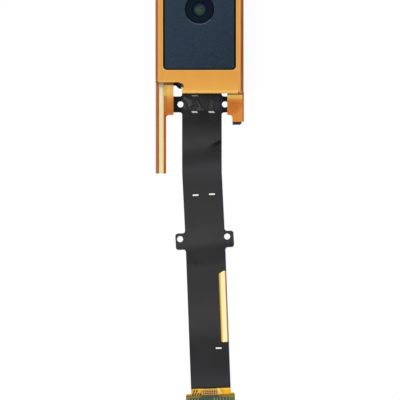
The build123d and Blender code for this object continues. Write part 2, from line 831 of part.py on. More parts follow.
# Frame circuit: one film, folded down over the housing's sides and ends, with two tails
with BuildPart() as wrap_flex:
    # Face and side flaps, then the window for the can
    with BuildSketch(Plane.XZ.offset(-module_top_y)):
        with BuildLine():
            FilletPolyline(
                (-housing_half - film / 2, side_flap_foot),
                (-housing_half - film / 2, face_mid),
                (housing_half + film / 2, face_mid),
                (housing_half + film / 2, side_flap_foot),
                radius=bend_mid,
            )
        trace(line_width=film)
    extrude(amount=module_top_y - end_fold_y - fold_slit)
    with BuildSketch(Plane.XY.offset(housing_top)):
        with Locations((0, can_mid_y)):
            RectangleRounded(can_width + 2 * can_gap, can_length + 2 * can_gap, can_corner + can_gap)
    extrude(amount=film, mode=Mode.SUBTRACT)
    # Rounded relief notch between the left tail and the end flap
    with BuildSketch() as notch_plan:
        rectangle_between(left_tail_edge - film, notch_x, end_fold_y, left_fold_y)
        fillet(notch_plan.vertices().group_by(Axis.X)[-1].sort_by(Axis.Y)[-1], notch_corner)
    extrude(amount=face_top, mode=Mode.SUBTRACT)
    # Stretches where the end folds take over from the face, and the slit at the left corner
    with BuildSketch():
        rectangle_between(-fold_line_x, left_root_edge, left_fold_y, left_fold_y + bend_outer)
        rectangle_between(notch_x, fold_line_x, end_fold_y, end_fold_y + bend_outer)
        rectangle_between(left_tail_edge, -fold_line_x, left_fold_y, left_fold_y + fold_slit)
    extrude(amount=face_top, mode=Mode.SUBTRACT)
    # Left fold and tail: down the end wall, out over the ear and along the main circuit
    extrude(
        film_view(-fold_line_x, left_fold_line, bend_mid), amount=left_root_edge + fold_line_x
    )
    extrude(
        film_view(left_tail_edge, left_tail_line, [tail_bend_mid, *tail_wave_radii]),
        amount=left_root_edge - left_tail_edge,
    )
    # End fold with its short lip, and the right tail
    extrude(film_view(notch_x, end_fold_line, bend_mid), amount=fold_line_x - notch_x)
    with BuildSketch(Plane.XY.offset(end_lip_foot)):
        rectangle_between(notch_x, right_root_edge - fold_slit, end_fold_y, end_fold_y + film)
    extrude(amount=fold_foot - end_lip_foot)
    extrude(
        film_view(right_root_edge, right_tail_line, tail_bend_mid),
        amount=right_tail_edge - right_root_edge,
    )
    # Both tails narrow beyond their roots, with a rounded inner corner
    with BuildSketch() as left_narrowing:
        rectangle_between(left_tail_inner, left_root_edge, left_tail_end_y, root_end_y)
        fillet(left_narrowing.vertices().group_by(Axis.X)[0].sort_by(Axis.Y)[-1], root_corner)
    extrude(amount=tail_ceiling, mode=Mode.SUBTRACT)
    with BuildSketch() as right_narrowing:
        rectangle_between(right_root_edge, right_tail_inner, right_tail_end_y, root_end_y)
        fillet(right_narrowing.vertices().group_by(Axis.X)[-1].sort_by(Axis.Y)[-1], root_corner)
    extrude(amount=tail_ceiling, mode=Mode.SUBTRACT)
wrap_flex.part.label = "wrap_flex"
export_step(wrap_flex.part, "parts/wrap_flex.step")

# Left tail strip: bare gold plating that runs down the bend and along the left tail
strip_lift = (film + plating_strip) / 2
left_strip_left = left_tail_edge + left_strip_inset
left_strip_line = [
    (left_fold_mid_y - strip_lift, left_strip_rise),
    (left_fold_mid_y - strip_lift, tail_mid + strip_lift),
    (root_end_y - tail_flat, tail_mid + strip_lift),
    (left_tail_end_y + tail_flat, left_tail_low + strip_lift),
    (left_tail_end_y, left_tail_low + strip_lift),
]
with BuildPart() as left_tail_strip:
    extrude(
        film_view(
            left_strip_left, left_strip_line,
            [tail_bend_mid - strip_lift, *tail_wave_radii], plating_strip,
        ),
        amount=left_strip_width,
    )
left_tail_strip.part.label = "left_tail_strip"
export_step(left_tail_strip.part, "parts/left_tail_strip.step")

# Right tail chip: hangs under the right tail and reaches a little past its end
chip_end_y = right_tail_end_y - tail_chip_overhang
chip_left = right_tail_inner + tail_chip_inset
with BuildPart() as right_tail_chip:
    with BuildSketch(Plane.XY.offset(flex_top - tail_chip_height)) as chip_plan:
        rectangle_between(
            chip_left, chip_left + tail_chip_width, chip_end_y, chip_end_y + tail_chip_length
        )
        chamfer(chip_plan.vertices().group_by(Axis.X)[-1].sort_by(Axis.Y)[0], tail_chip_corner)
    extrude(amount=tail_chip_height)
right_tail_chip.part.label = "right_tail_chip"
export_step(right_tail_chip.part, "parts/right_tail_chip.step")


def inner_corners(plan, frame, half_height):
    """Vertices of a plan where an ear meets the tail's edges, seen in the ear's own frame."""
    corners = []
    for vertex in plan.vertices():
        place = frame.to_local_coords(Vector(vertex))
        beside_tail = abs(place.X) < flex_width / 2 + ear_inner_corner
        if beside_tail and abs(abs(place.Y) - half_height) < ear_inner_corner:
            corners.append(vertex)
    return corners


# Main circuit: the black tail, with two pairs of eared tooling holes and a wide bare end
upper_frame = Plane(origin=(flex_exit_x, upper_ear_y, 0))
with BuildPart() as main_flex:
    with BuildSketch() as flex_plan:
        with BuildLine():
            FilletPolyline(flex_start, straight_end, ear_centre, flex_end, radius=lean_radius)
        trace(line_width=flex_width)
        with Locations((0, upper_ear_y)):
            RectangleRounded(2 * upper_ear_half_width, upper_ear_height, ear_corner)
        with Locations(ear_frame.location * Location((ear_shift, 0))):
            RectangleRounded(ear_width, ear_height, ear_corner)
        fillet(inner_corners(flex_plan, upper_frame, upper_ear_height / 2), ear_inner_corner)
        fillet(inner_corners(flex_plan, ear_frame, ear_height / 2), ear_inner_corner)
        with Locations(board_frame.location * Location((0, (end_shoulder - connector_board_length) / 2))):
            RectangleRounded(end_width, connector_board_length + end_shoulder, end_corner)
        with Locations((upper_hole_left, upper_ear_y), (upper_hole_right, upper_ear_y)):
            Circle(hole_radius, mode=Mode.SUBTRACT)
        with Locations(
            ear_frame.location * Location((ear_hole_left, ear_hole_rise)),
            ear_frame.location * Location((ear_hole_right, ear_hole_rise)),
        ):
            Circle(hole_radius, mode=Mode.SUBTRACT)
    extrude(amount=flex_ceiling)
    extrude(
        film_view(-flex_reach, wave_points, wave_radius), amount=2 * flex_reach, mode=Mode.INTERSECT
    )
    # Beyond the end of the black cover film the circuit is bare and thinner
    with BuildSketch(end_frame.offset(flex_top - cover_step)):
        with Locations((0, -flex_reach)):
            Rectangle(2 * flex_reach, 2 * flex_reach)
    extrude(amount=flex_ceiling, mode=Mode.SUBTRACT)
main_flex.part.label = "main_flex"
export_step(main_flex.part, "parts/main_flex.step")

# Exit tape: a thin black patch on the main circuit where it leaves the module
with BuildPart() as exit_tape:
    with BuildSketch(Plane.XY.offset(flex_top)):
        with Locations((flex_exit_x, (tape_start_y + upper_ear_y - upper_ear_height / 2) / 2)):
            Rectangle(tape_width, tape_start_y - upper_ear_y + upper_ear_height / 2)
    extrude(amount=tape)
exit_tape.part.label = "exit_tape"
export_step(exit_tape.part, "parts/exit_tape.step")

# Ground strip: a raised gold-plated strip along the tail's right edge, one corner slanted
strip_left = ground_strip_offset - ground_strip_width / 2
strip_right = ground_strip_offset + ground_strip_width / 2
strip_end = -ground_strip_start - ground_strip_length
with BuildPart() as ground_strip:
    with BuildSketch(strip_frame) as strip_plan:
        with BuildLine():
            Polyline(
                (strip_left, -ground_strip_start - ground_strip_slant_y),
                (strip_left + ground_strip_slant_x, -ground_strip_start),
                (strip_right, -ground_strip_start),
                (strip_right, strip_end),
                (strip_left, strip_end),
                close=True,
            )
        make_face()
        fillet(strip_plan.vertices().group_by(Axis.Y)[0], ground_strip_corner)
    extrude(amount=flex_ceiling)
    extrude(
        film_view(-flex_reach, lifted(wave_points, strip_lift), wave_radius, plating_strip),
        amount=2 * flex_reach, mode=Mode.INTERSECT,
    )
ground_strip.part.label = "ground_strip"
export_step(ground_strip.part, "parts/ground_strip.step")

# Connector board: the stiff green board laminated on the end of the main circuit
bare_top = flex_top - cover_step
connector_board_top = bare_top + connector_board_thick
board_middle = board_frame.location * Location((0, -connector_board_length / 2))
board_plane = Plane(board_middle)
with BuildPart() as connector_board:
    with BuildSketch(board_plane.offset(bare_top)):
        RectangleRounded(end_width, connector_board_length, connector_board_corner)
    extrude(amount=connector_board_thick)
connector_board.part.label = "connector_board"
export_step(connector_board.part, "parts/connector_board.step")

# Connector plate: a steel stiffener under the end, opposite the connector
flex_bottom = flex_mid_height - film / 2
with BuildPart() as connector_plate:
    with BuildSketch(board_plane.offset(flex_bottom - connector_plate_thick)) as end_plate_plan:
        Rectangle(
            end_width - 2 * connector_plate_margin,
            connector_board_length - 2 * connector_plate_margin,
        )
        chamfer(end_plate_plan.vertices(), plate_corner)
    extrude(amount=connector_plate_thick)
connector_plate.part.label = "connector_plate"
export_step(connector_plate.part, "parts/connector_plate.step")

# Connector housing: a moulded plug with a trough between its two long walls
plug_plane = Plane(board_frame.location * Location((0, -connector_place)))
with BuildPart() as connector_housing:
    with BuildSketch(plug_plane.offset(connector_board_top)) as plug_plan:
        Rectangle(connector_length, connector_width)
        chamfer(plug_plan.vertices(), connector_corner)
    extrude(amount=connector_height)
    with BuildSketch(plug_plane.offset(connector_board_top + connector_floor)):
        Rectangle(
            connector_length - 2 * connector_end_wall,
            connector_width - 2 * connector_side_wall,
        )
    extrude(amount=connector_height - connector_floor, mode=Mode.SUBTRACT)
connector_housing.part.label = "connector_housing"
export_step(connector_housing.part, "parts/connector_housing.step")


def wall_clip(reach, height, wall, tail, depth):
    """Line along the middle of a strip that climbs a wall's outer face and laps its top."""
    half = contact_thick / 2
    return [
        (reach + tail, half),
        (reach + half, half),
        (reach + half, height + half),
        (reach - wall - half, height + half),
        (reach - wall - half, height - depth),
    ]


# Connector contacts: gold strips at an even pitch that wrap both long walls
contact_line = wall_clip(
    connector_width / 2, connector_height, connector_side_wall, contact_tail, contact_depth
)
with BuildPart(mode=Mode.PRIVATE) as one_contact:
    with BuildSketch(Plane.YZ.offset(-contact_width / 2)):
        with BuildLine():
            Polyline(*contact_line)
        trace(line_width=contact_thick)
    extrude(amount=contact_width)
with BuildPart(plug_plane.offset(connector_board_top)) as connector_contacts:
    with GridLocations(contact_pitch, 0, contact_count, 1):
        add(one_contact.part)
    mirror(about=Plane(origin=plug_plane.origin, z_dir=plug_plane.y_dir))
connector_contacts.part.label = "connector_contacts"
export_step(connector_contacts.part, "parts/connector_contacts.step")

# Connector clamps: solder-down metal clips over the plug's two end walls
clamp_width = connector_width - 2 * connector_side_wall - 2 * clamp_play
clamp_line = wall_clip(
    connector_length / 2, connector_height, connector_end_wall, clamp_tail, clamp_lap
)
with BuildPart(mode=Mode.PRIVATE) as one_clamp:
    with BuildSketch(Plane.XZ.offset(-clamp_width / 2)):
        with BuildLine():
            Polyline(*clamp_line)
        trace(line_width=contact_thick)
    extrude(amount=clamp_width)
with BuildPart(plug_plane.offset(connector_board_top)) as connector_clamps:
    add(one_clamp.part)
    mirror(about=Plane(origin=plug_plane.origin, z_dir=plug_plane.x_dir))
connector_clamps.part.label = "connector_clamps"
export_step(connector_clamps.part, "parts/connector_clamps.step")

# Connector capacitors: two small groups along the board's near edge
with BuildPart() as connector_capacitors:
    with BuildSketch(board_frame.offset(connector_board_top)):
        with Locations((left_chip_centre, -small_chip_place)):
            with GridLocations(small_chip_pitch, 0, left_chip_count, 1):
                Rectangle(small_chip_width, small_chip_depth)
        with Locations((right_chip_centre, -small_chip_place)):
            with GridLocations(small_chip_pitch, 0, right_chip_count, 1):
                Rectangle(small_chip_width, small_chip_depth)
    extrude(amount=small_chip_height)
connector_capacitors.part.label = "connector_capacitors"
export_step(connector_capacitors.part, "parts/connector_capacitors.step")
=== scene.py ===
# %% [markdown]
# # A phone camera module on its flexible tail
# The object is a small autofocus camera: a slate-coated metal can with a lens in it, wrapped in an
# amber film circuit, on a long black tail with a gold strip and a green board at its end. The shapes
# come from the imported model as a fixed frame. Here each piece gets the finish of the real material,
# and the pieces that want more detail than a solid can hold are made again as meshes.

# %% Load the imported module
import math

import bmesh
import bpy
import numpy as np
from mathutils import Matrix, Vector


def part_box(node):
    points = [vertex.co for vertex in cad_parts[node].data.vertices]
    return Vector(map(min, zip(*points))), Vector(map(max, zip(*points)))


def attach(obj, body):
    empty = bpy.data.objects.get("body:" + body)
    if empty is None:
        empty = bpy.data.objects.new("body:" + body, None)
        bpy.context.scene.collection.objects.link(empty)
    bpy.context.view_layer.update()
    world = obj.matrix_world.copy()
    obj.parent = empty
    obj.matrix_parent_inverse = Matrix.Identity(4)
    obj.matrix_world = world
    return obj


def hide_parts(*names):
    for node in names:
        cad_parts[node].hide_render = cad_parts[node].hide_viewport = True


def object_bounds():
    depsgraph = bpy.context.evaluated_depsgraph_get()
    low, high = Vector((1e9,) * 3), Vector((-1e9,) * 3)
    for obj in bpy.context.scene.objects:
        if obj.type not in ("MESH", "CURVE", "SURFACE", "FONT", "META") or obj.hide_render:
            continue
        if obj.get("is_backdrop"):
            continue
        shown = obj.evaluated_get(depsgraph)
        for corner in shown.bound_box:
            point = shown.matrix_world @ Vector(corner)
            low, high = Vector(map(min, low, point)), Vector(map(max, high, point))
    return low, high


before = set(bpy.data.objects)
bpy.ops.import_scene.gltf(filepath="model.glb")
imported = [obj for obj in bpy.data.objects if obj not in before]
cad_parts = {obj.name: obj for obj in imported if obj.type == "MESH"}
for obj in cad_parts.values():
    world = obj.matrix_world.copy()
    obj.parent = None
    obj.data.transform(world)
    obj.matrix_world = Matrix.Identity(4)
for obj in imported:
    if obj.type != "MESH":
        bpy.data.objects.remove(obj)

MM = 0.001


def sides(low, high):
    """Length, width and height of a box in mm."""
    return [round(side / MM, 2) for side in high - low]


cad_low, cad_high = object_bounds()
print("size in mm:", sides(cad_low, cad_high))

# %% [markdown]
# ## Camera
# The photograph looks straight down on the module, which lies flat. Its far end is as wide as its near
# end, so it was taken from far away. A wide lens close by would make the tall can look larger than the
# flat tail. A long lens from far away keeps both at one scale, and still gives the little perspective
# that a real camera has.

# %% Look straight down through a long lens
PHOTO_PIXELS = 400
PIXELS_PER_MM = 6.0
PHOTO_CENTRE = Vector((0.083, -31.58, 0.0)) * MM
LENS_LENGTH = 500.0
SENSOR_WIDTH = 36.0

view_width = PHOTO_PIXELS / PIXELS_PER_MM * MM
camera_height = view_width * LENS_LENGTH / SENSOR_WIDTH
camera_data = bpy.data.cameras.new("overhead_camera")
camera_data.lens = LENS_LENGTH
camera_data.sensor_width = SENSOR_WIDTH
camera = bpy.data.objects.new("overhead_camera", camera_data)
camera.location = PHOTO_CENTRE + Vector((0, 0, camera_height))
bpy.context.collection.objects.link(camera)
bpy.context.scene.camera = camera
bpy.context.scene.view_settings.view_transform = "Standard"
print("camera height in m:", round(camera_height, 3))

# %% [markdown]
# ## Colours and nodes
# Colours are written as the hex values that a screen shows. Cycles works in linear light, so one
# function turns them. A second one adds a node of any kind, sets it up and links it.

# %% Turn a hex colour to linear light, and add a node with its settings and links
def linear(colour):
    """The linear colour, with alpha, of an sRGB hex value such as #E0A048."""
    shares = [int(colour[place:place + 2], 16) / 255 for place in (1, 3, 5)]
    return [s / 12.92 if s <= 0.04045 else ((s + 0.055) / 1.055) ** 2.4 for s in shares] + [1.0]


def add(tree, kind, sockets=None, **settings):
    """Add a node. Its sockets take values, hex colours, other sockets, or a node's first output."""
    node = tree.nodes.new(kind)
    for name, value in settings.items():
        setattr(node, name, value)
    for name, value in (sockets or {}).items():
        if isinstance(value, bpy.types.Node):
            value = value.outputs[0]
        if isinstance(value, bpy.types.NodeSocket):
            tree.links.new(value, node.inputs[name])
        else:
            node.inputs[name].default_value = linear(value) if str(value).startswith("#") else value
    return node


print("middle grey:", round(linear("#808080")[0], 3))

# %% Start a finish and put it on the parts
def start_finish(name, **constants):
    """A material with one Principled shader. Constants go on the shader's own sockets."""
    material = bpy.data.materials.new(name)
    material.use_nodes = True
    tree = material.node_tree
    tree.nodes.clear()
    names = [key.replace("_", " ").title().replace("Ior", "IOR") for key in constants]
    shader = add(tree, "ShaderNodeBsdfPrincipled", dict(zip(names, constants.values())))
    add(tree, "ShaderNodeOutputMaterial", {"Surface": shader})
    return material, tree, shader


def dress(material, *names):
    """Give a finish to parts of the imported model."""
    for name in names:
        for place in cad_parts[name].material_slots:
            place.material = material


print("parts to dress:", len(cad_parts))

# %% [markdown]
# ## Patterns in real millimetres
# Every pattern here is laid out in millimetres on the object itself, so that it stays where it is from
# any side. A Mapping node set to Texture takes an origin and a turn and gives places in that frame,
# which suits the tail, because its end leans two degrees. A finish could be painted as an image, but an
# image has one sharpness. Here it is built up as a painter would: a ground colour, and over it thin
# layers, each held between soft steps along some coordinate.

# %% Places in a frame of their own, in millimetres
def places(tree, origin=(0, 0), turn=0.0):
    """Places in mm from an origin, in a frame turned by some degrees: the vector and its three parts."""
    source = add(tree, "ShaderNodeTexCoord")
    spot = add(
        tree, "ShaderNodeMapping",
        {
            "Vector": source.outputs["Object"],
            "Location": (origin[0] * MM, origin[1] * MM, 0),
            "Rotation": (0, 0, math.radians(turn)),
            "Scale": (MM, MM, MM),
        },
        vector_type="TEXTURE",
    )
    return spot, *add(tree, "ShaderNodeSeparateXYZ", {0: spot}).outputs


def speckle(tree, size, detail=3.0, **frame_of_its_own):
    """Soft noise on the object, in patches that measure about a size in mm."""
    spot = places(tree, **frame_of_its_own)[0]
    return add(tree, "ShaderNodeTexNoise", {"Vector": spot, "Scale": 1 / size, "Detail": detail})


print("one unit of a pattern in metres:", MM)

# %% Lay one colour over another between soft steps
MIX_FACTOR, MIX_A, MIX_B, MIX_RESULT = 0, 6, 7, 2


def rise(tree, *steps, strength=1.0):
    """A share that reaches a strength where every step has risen: a value, its start and its end."""
    for value, start, end in steps:
        step = add(
            tree, "ShaderNodeMapRange", {"Value": value, "From Min": start, "From Max": end},
            interpolation_type="SMOOTHSTEP",
        )
        strength = add(tree, "ShaderNodeMath", {0: step, 1: strength}, operation="MULTIPLY")
    return strength


def lay(tree, under, over, strength, *steps):
    """Lay a colour over another one with some strength, where every step has risen."""
    sockets = {MIX_FACTOR: rise(tree, *steps, strength=strength), MIX_A: under, MIX_B: over}
    return add(tree, "ShaderNodeMix", sockets, data_type="RGBA").outputs[MIX_RESULT]


def strip(value, middle, reach, core):
    """Two steps that keep a strip on both sides of a line: full in its core, gone past its reach."""
    return (value, middle - reach, middle - core), (value, middle + reach, middle + core)


print("a strip's two steps:", strip("x", 1.0, 0.5, 0.25))

# %% [markdown]
# ## Plain finishes for what the can hides
# Most of the module sits inside: a sensor, a filter, springs, magnets, a coil and lens elements. They
# only show where someone opens the model, so one recipe serves them all: a colour that drifts a little
# in patches of a real size, and a fine relief of the same grain.

# %% A mottled finish
def surface(tree, shader, colour, height=None, depth=0.0):
    """Give a shader its colour, and a bump whose full height is a depth in mm."""
    tree.links.new(colour, shader.inputs["Base Color"])
    if height is not None:
        bump = add(tree, "ShaderNodeBump", {"Height": height, "Distance": depth * MM, "Strength": 1.0})
        tree.links.new(bump.outputs[0], shader.inputs["Normal"])


def mottled(name, colour, drift, grain, depth, **constants):
    """A finish that drifts between two colours in patches of a grain in mm, with some relief."""
    material, tree, shader = start_finish(name, **constants)
    spots = speckle(tree, grain)
    surface(tree, shader, lay(tree, colour, drift, 1.0, (spots, 0.35, 0.65)), spots, depth)
    return material


# Stamped stainless steel: a grey metal with a faint rolled grain
steel = mottled("rolled_stainless_steel", "#B9B7B2", "#A5A39E", 0.35, 0.002, metallic=1.0, roughness=0.34)
dress(steel, "back_plate", "connector_plate")
# Nickel-plated iron and magnets: bright grey, slightly yellow
nickel = mottled("nickel_plating", "#C6C1B6", "#B4AFA5", 0.25, 0.001, metallic=1.0, roughness=0.22)
dress(nickel, "magnet_yoke", "drive_magnets")
# Beryllium copper sheet: a warm, dull gold spring metal
spring_metal = mottled(
    "beryllium_copper_sheet", "#C99A5C", "#B98A50", 0.3, 0.001, metallic=1.0, roughness=0.3,
)
dress(spring_metal, "lower_leaf_spring", "upper_leaf_spring")
# Solder mask over a glass laminate: matt dark green
dress(mottled("sensor_board_mask", "#2F5138", "#274630", 0.5, 0.003, roughness=0.45), "sensor_board")
# Polished silicon: a dark violet grey mirror
silicon = mottled("polished_silicon", "#3A3448", "#2A3A4C", 0.8, 0.0, metallic=0.7, roughness=0.12)
dress(silicon, "image_sensor")
# Moulded epoxy on the chips: matt black with a sandy face
chip_black = mottled("moulded_epoxy", "#202124", "#2A2B2F", 0.12, 0.004, roughness=0.65)
dress(chip_black, "driver_chip", "memory_chip")
# Barium titanate: the tan of a fired capacitor
dress(mottled("fired_ceramic", "#A98463", "#97745A", 0.15, 0.002, roughness=0.5), "board_capacitors")
print("hidden finishes so far:", len(bpy.data.materials))

# %% Finish what stands in the light's way
# Liquid crystal polymer: black, with the pale flow marks that glass fibres leave
polymer = mottled(
    "black_liquid_crystal_polymer", "#0C0C0D", "#141415", 0.4, 0.004, roughness=0.55, specular_ior_level=0.06,
)
dress(polymer, "module_housing", "filter_holder", "actuator_base", "stopper_frame", "lens_carrier")
# Blackened rings inside the barrel: dead matt, to swallow stray light
foil = mottled("blackened_foil", "#0E0E10", "#161618", 0.2, 0.003, roughness=0.8)
dress(foil, "spacer_ring", "retaining_ring")
# Filter glass with an infrared coating: pale with a hint of red
filter_glass = mottled(
    "coated_filter_glass", "#D9C6C4", "#CFC9D2", 2.0, 0.0, roughness=0.03, transmission_weight=0.8, ior=1.52,
)
dress(filter_glass, "infrared_filter")
# Moulded cyclic olefin: clear, with a coating that looks faintly green
lens_plastic = mottled(
    "moulded_lens_plastic", "#DDE6E0", "#E4E2EA", 1.5, 0.0, roughness=0.02, transmission_weight=0.9, ior=1.54,
)
dress(lens_plastic, "second_element", "third_element", "rear_element")
print("hidden finishes:", len(bpy.data.materials))

# %% [markdown]
# ## Focus coil
# The coil is enamelled copper wire, wound in rows round the eight-sided carrier. The wire could be
# modelled turn by turn, but it is 0.06 mm thick and hidden. A wave pattern along the height gives the
# rows, with the wire's own pitch.

# %% Wind the coil
WIRE_PITCH = 0.06

# Enamelled copper: a reddish metal, with painted shade in the grooves between the turns and painted light on
# their crests
coil_finish, tree, shader = start_finish("enamelled_copper_wire", metallic=1.0, roughness=0.25)
up = places(tree)[3]
turns = add(tree, "ShaderNodeMath", {0: up, 1: WIRE_PITCH / 2}, operation="PINGPONG")
turns = add(tree, "ShaderNodeMath", {0: turns, 1: WIRE_PITCH / 2}, operation="DIVIDE")
surface(tree, shader, lay(tree, "#6E3518", "#C8713A", turns), turns, WIRE_PITCH / 3)
dress(coil_finish, "focus_coil")

# %% [markdown]
# ## Shield can
# The can is drawn from stainless steel and coated in slate blue-grey lacquer with an eggshell sheen.
# The coat is painted a little lighter towards the upper left, painted light from the side where the lamp
# stands, and it has a fine mottled orange peel. The gradient runs across the face in the object's own
# coordinates, and two sizes of noise give the mottling.

# %% Bands along a coordinate, and distances from a spot
def bands(tree, along, stops):
    """Colour that changes along a coordinate: stops are pairs of a place in mm and a hex colour."""
    first, last = stops[0][0], stops[-1][0]
    share = add(tree, "ShaderNodeMapRange", {"Value": along, "From Min": first, "From Max": last})
    ramp = add(tree, "ShaderNodeValToRGB", {"Fac": share})
    marks = ramp.color_ramp.elements
    while len(marks) < len(stops):
        marks.new(0.5)
    for mark, (place, colour) in zip(marks, stops):
        mark.position = (place - first) / (last - first)
        mark.color = linear(colour)
    return ramp


def from_spot(tree, centre, halves=(1.0, 1.0), turn=0.0):
    """Distance from a spot on the face, which is 1 on the rim of an oval with these halves in mm."""
    spot = places(tree, centre, turn)[0]
    flat = {0: spot, 1: (1 / halves[0], 1 / halves[1], 0)}
    flat = add(tree, "ShaderNodeVectorMath", flat, operation="MULTIPLY")
    return add(tree, "ShaderNodeVectorMath", {0: flat}, operation="LENGTH").outputs["Value"]


# %% Coat the can
CAN_FLAT = 5.7
APERTURE_EDGE = 2.5

# Slate lacquer: hardly any gloss, so the coat shows its own colour and a fine peel
slate_coat, tree, shader = start_finish("slate_lacquer_on_steel", roughness=0.5, specular_ior_level=0.07)
where, across, along = places(tree)[:3]
slant = add(tree, "ShaderNodeMath", {0: across, 1: along}, operation="SUBTRACT")
# Painted light: the coat is lighter towards the upper left, where the lamp stands, and darker towards the
# lower right
lacquer = bands(tree, slant, [(-11.0, "#243641"), (2.0, "#203042"), (15.0, "#182533")])
cloud = add(
    tree, "ShaderNodeTexNoise", {"Vector": where, "Scale": 1 / 0.9, "Detail": 4.0, "Roughness": 0.7},
)
lacquer = lay(tree, lacquer, "#293844", 0.35, (cloud, 0.3, 0.7))
grain = speckle(tree, 0.28, detail=1.0)
lacquer = lay(tree, lacquer, "#33414E", 0.3, (grain, 0.42, 0.62))
# The drawn edge turns down into the gap round the can, where hardly any light comes
turned = add(tree, "ShaderNodeMath", {0: across}, operation="ABSOLUTE")
lacquer = lay(tree, lacquer, "#07090A", 1.0, (turned, CAN_FLAT, CAN_FLAT + 0.1))
# The drawn edge of the aperture is painted brighter on its near side: a painted highlight where it catches
# the light
rim = from_spot(tree, (0, 0))
wear_and_highlight = (rim, APERTURE_EDGE + 0.06, APERTURE_EDGE - 0.02)
lacquer = lay(tree, lacquer, "#566270", 1.0, wear_and_highlight, (along, -1.2, -2.1))
surface(tree, shader, lacquer, speckle(tree, 0.12), 0.003)
dress(slate_coat, "shield_can")
print("nodes in the can's finish:", len(tree.nodes))

# %% [markdown]
# ## Lens
# Light goes in through a small cone in a black barrel. The barrel's face is anodised almost black with a blue
# cast, and the front element shows a green-grey reflection of the light above it in its coating. The glass
# could be made truly clear, but then the render shows whatever is under it. A dark, glossy surface with a
# coloured centre is what the eye sees, so the reflection is painted as a ring of bands around the optical
# axis, with a painted glare beside it.

# %% Blacken the barrel
# Anodised barrel: nearly black, with a cold blue cast and a dull sheen
barrel_finish, tree, shader = start_finish("blue_black_barrel", roughness=0.45, specular_ior_level=0.03)
across, along = places(tree)[1:3]
# The rings round the axis are painted lighter on the cone, light that lifts the shade inside it, and darkest
# on the flat face
ink = bands(
    tree, from_spot(tree, (0, 0)),
    [(0.9, "#142232"), (1.2, "#11202E"), (1.5, "#0A1624"), (1.9, "#07121E"), (2.2, "#07121E"),
     (2.35, "#0E1A28")],
)
# The coating turns violet towards the upper right
diagonal = add(tree, "ShaderNodeMath", {0: across, 1: along}, operation="ADD")
ink = lay(tree, ink, "#110F26", 0.7, (diagonal, 0.5, 2.2))
surface(tree, shader, ink, speckle(tree, 0.2), 0.002)
dress(barrel_finish, "lens_barrel")

# %% Coat the front element
REFLECTION_CENTRE = (0.12, -0.2)
GLARE_CENTRE = (0.37, 0.4)

# Coated glass: dark and smooth, with a painted green-grey reflection in its centre and a painted glare beside
# it
glass_coat, tree, shader = start_finish("coated_front_element", roughness=0.25, specular_ior_level=0.04)
painted_reflection = bands(
    tree, from_spot(tree, REFLECTION_CENTRE),
    [(0.0, "#3A4D3A"), (0.4, "#364838"), (0.7, "#2C3C3A"), (0.95, "#202F38"), (1.15, "#162532"),
     (1.3, "#132230"), (1.6, "#132230")],
)
painted_reflection = lay(tree, painted_reflection, "#343E4C", 0.8, (from_spot(tree, GLARE_CENTRE), 0.75, 0.2))
surface(tree, shader, painted_reflection)
dress(glass_coat, "front_element")

# %% [markdown]
# ## Amber film circuit
# The frame round the can is polyimide film with a copper foil inside. Where the foil is flat under it, the
# film is bright amber. Where it bends down over the sides it is painted a reddish brown, as painted shade of
# the bends, and its folds and the roots of its tails carry painted highlights and shade as well. One material
# for the whole circuit keeps the colours running on over the folds. It is laid out by place: the face, the
# two side bends, the fold, and each tail.

# %% Places on the amber film
LEFT_FOLD = -12.08
RIM_HALF = (6.2, 8.2)
WINDOW_MIDDLE = -2.0
BEND_START = 6.4

# Polyimide over copper: a warm amber, satin, with brown painted shade where it turns away
film, tree, shader = start_finish("copper_backed_polyimide_film", roughness=0.42, specular_ior_level=0.12)
where, across, along, up = places(tree)
outwards = add(tree, "ShaderNodeMath", {0: across}, operation="ABSOLUTE")
print("window's rim in mm:", [2 * half for half in RIM_HALF])

# %% Colour of the face, its window rim and its side bends, with painted highlights and shade
# Towards the end fold the face is painted lighter: a highlight on the fold's crest
face = bands(
    tree, along,
    [(-13.9, "#FFC86C"), (-13.65, "#FCC268"), (-13.3, "#E6A848"), (-11.3, "#DE9C40"), (-7.8, "#DD983E"),
     (0.2, "#DC9740"), (7.2, "#DC9742")],
)
# A paler rim runs round the window: a painted highlight on the film's cut edge
rim = [strip(value, middle, half + 0.05, half - 0.05)
       for value, middle, half in ((across, 0.0, RIM_HALF[0]), (along, WINDOW_MIDDLE, RIM_HALF[1]))]
face = lay(tree, face, "#E4B270", 0.5, *rim[0], *rim[1])
# In the side bends the brown is painted shade, after a paler painted highlight where each bend starts
bends = bands(
    tree, across,
    [(-7.3, "#B0602A"), (-7.12, "#A05A24"), (-6.93, "#985820"), (-6.83, "#E0A464"), (-6.62, "#DCA05A"),
     (-6.5, "#DD9B40"), (6.35, "#E09A42"), (6.66, "#E8A254"), (6.8, "#CC8440"), (6.91, "#8C4A1C"),
     (7.12, "#904C1E"), (7.3, "#B4642C")],
)
face = lay(tree, face, bends, 1.0, (outwards, BEND_START - 0.04, BEND_START + 0.04))
print("side bends start at mm:", BEND_START)

# %% Painted highlights on the left fold's crest and the notch's cut edge, painted shade in the notch's corner, and a small dark spot at the right corner
NOTCH_CENTRE = (-3.02, -12.92)
NOTCH_HALVES = (0.42, 0.69)
DARK_SPOT_CENTRE = (6.5, -13.82)
DARK_SPOT_RADIUS = 0.12

# Painted highlights on the left fold's crest and on the notch's cut edge
face = lay(tree, face, "#F6C274", 0.8, (along, -11.75, -11.9), (across, -4.0, -4.4))
face = lay(tree, face, "#CEC85A", 1.0, (across, -2.58, -2.68), (along, -12.8, -12.95), (along, -13.65, -13.5))
# Painted shade in the notch's corner
notch = from_spot(tree, NOTCH_CENTRE, NOTCH_HALVES)
face = lay(tree, face, "#14160F", 1.0, (notch, 1.08, 0.92), (along, -13.0, -12.9))
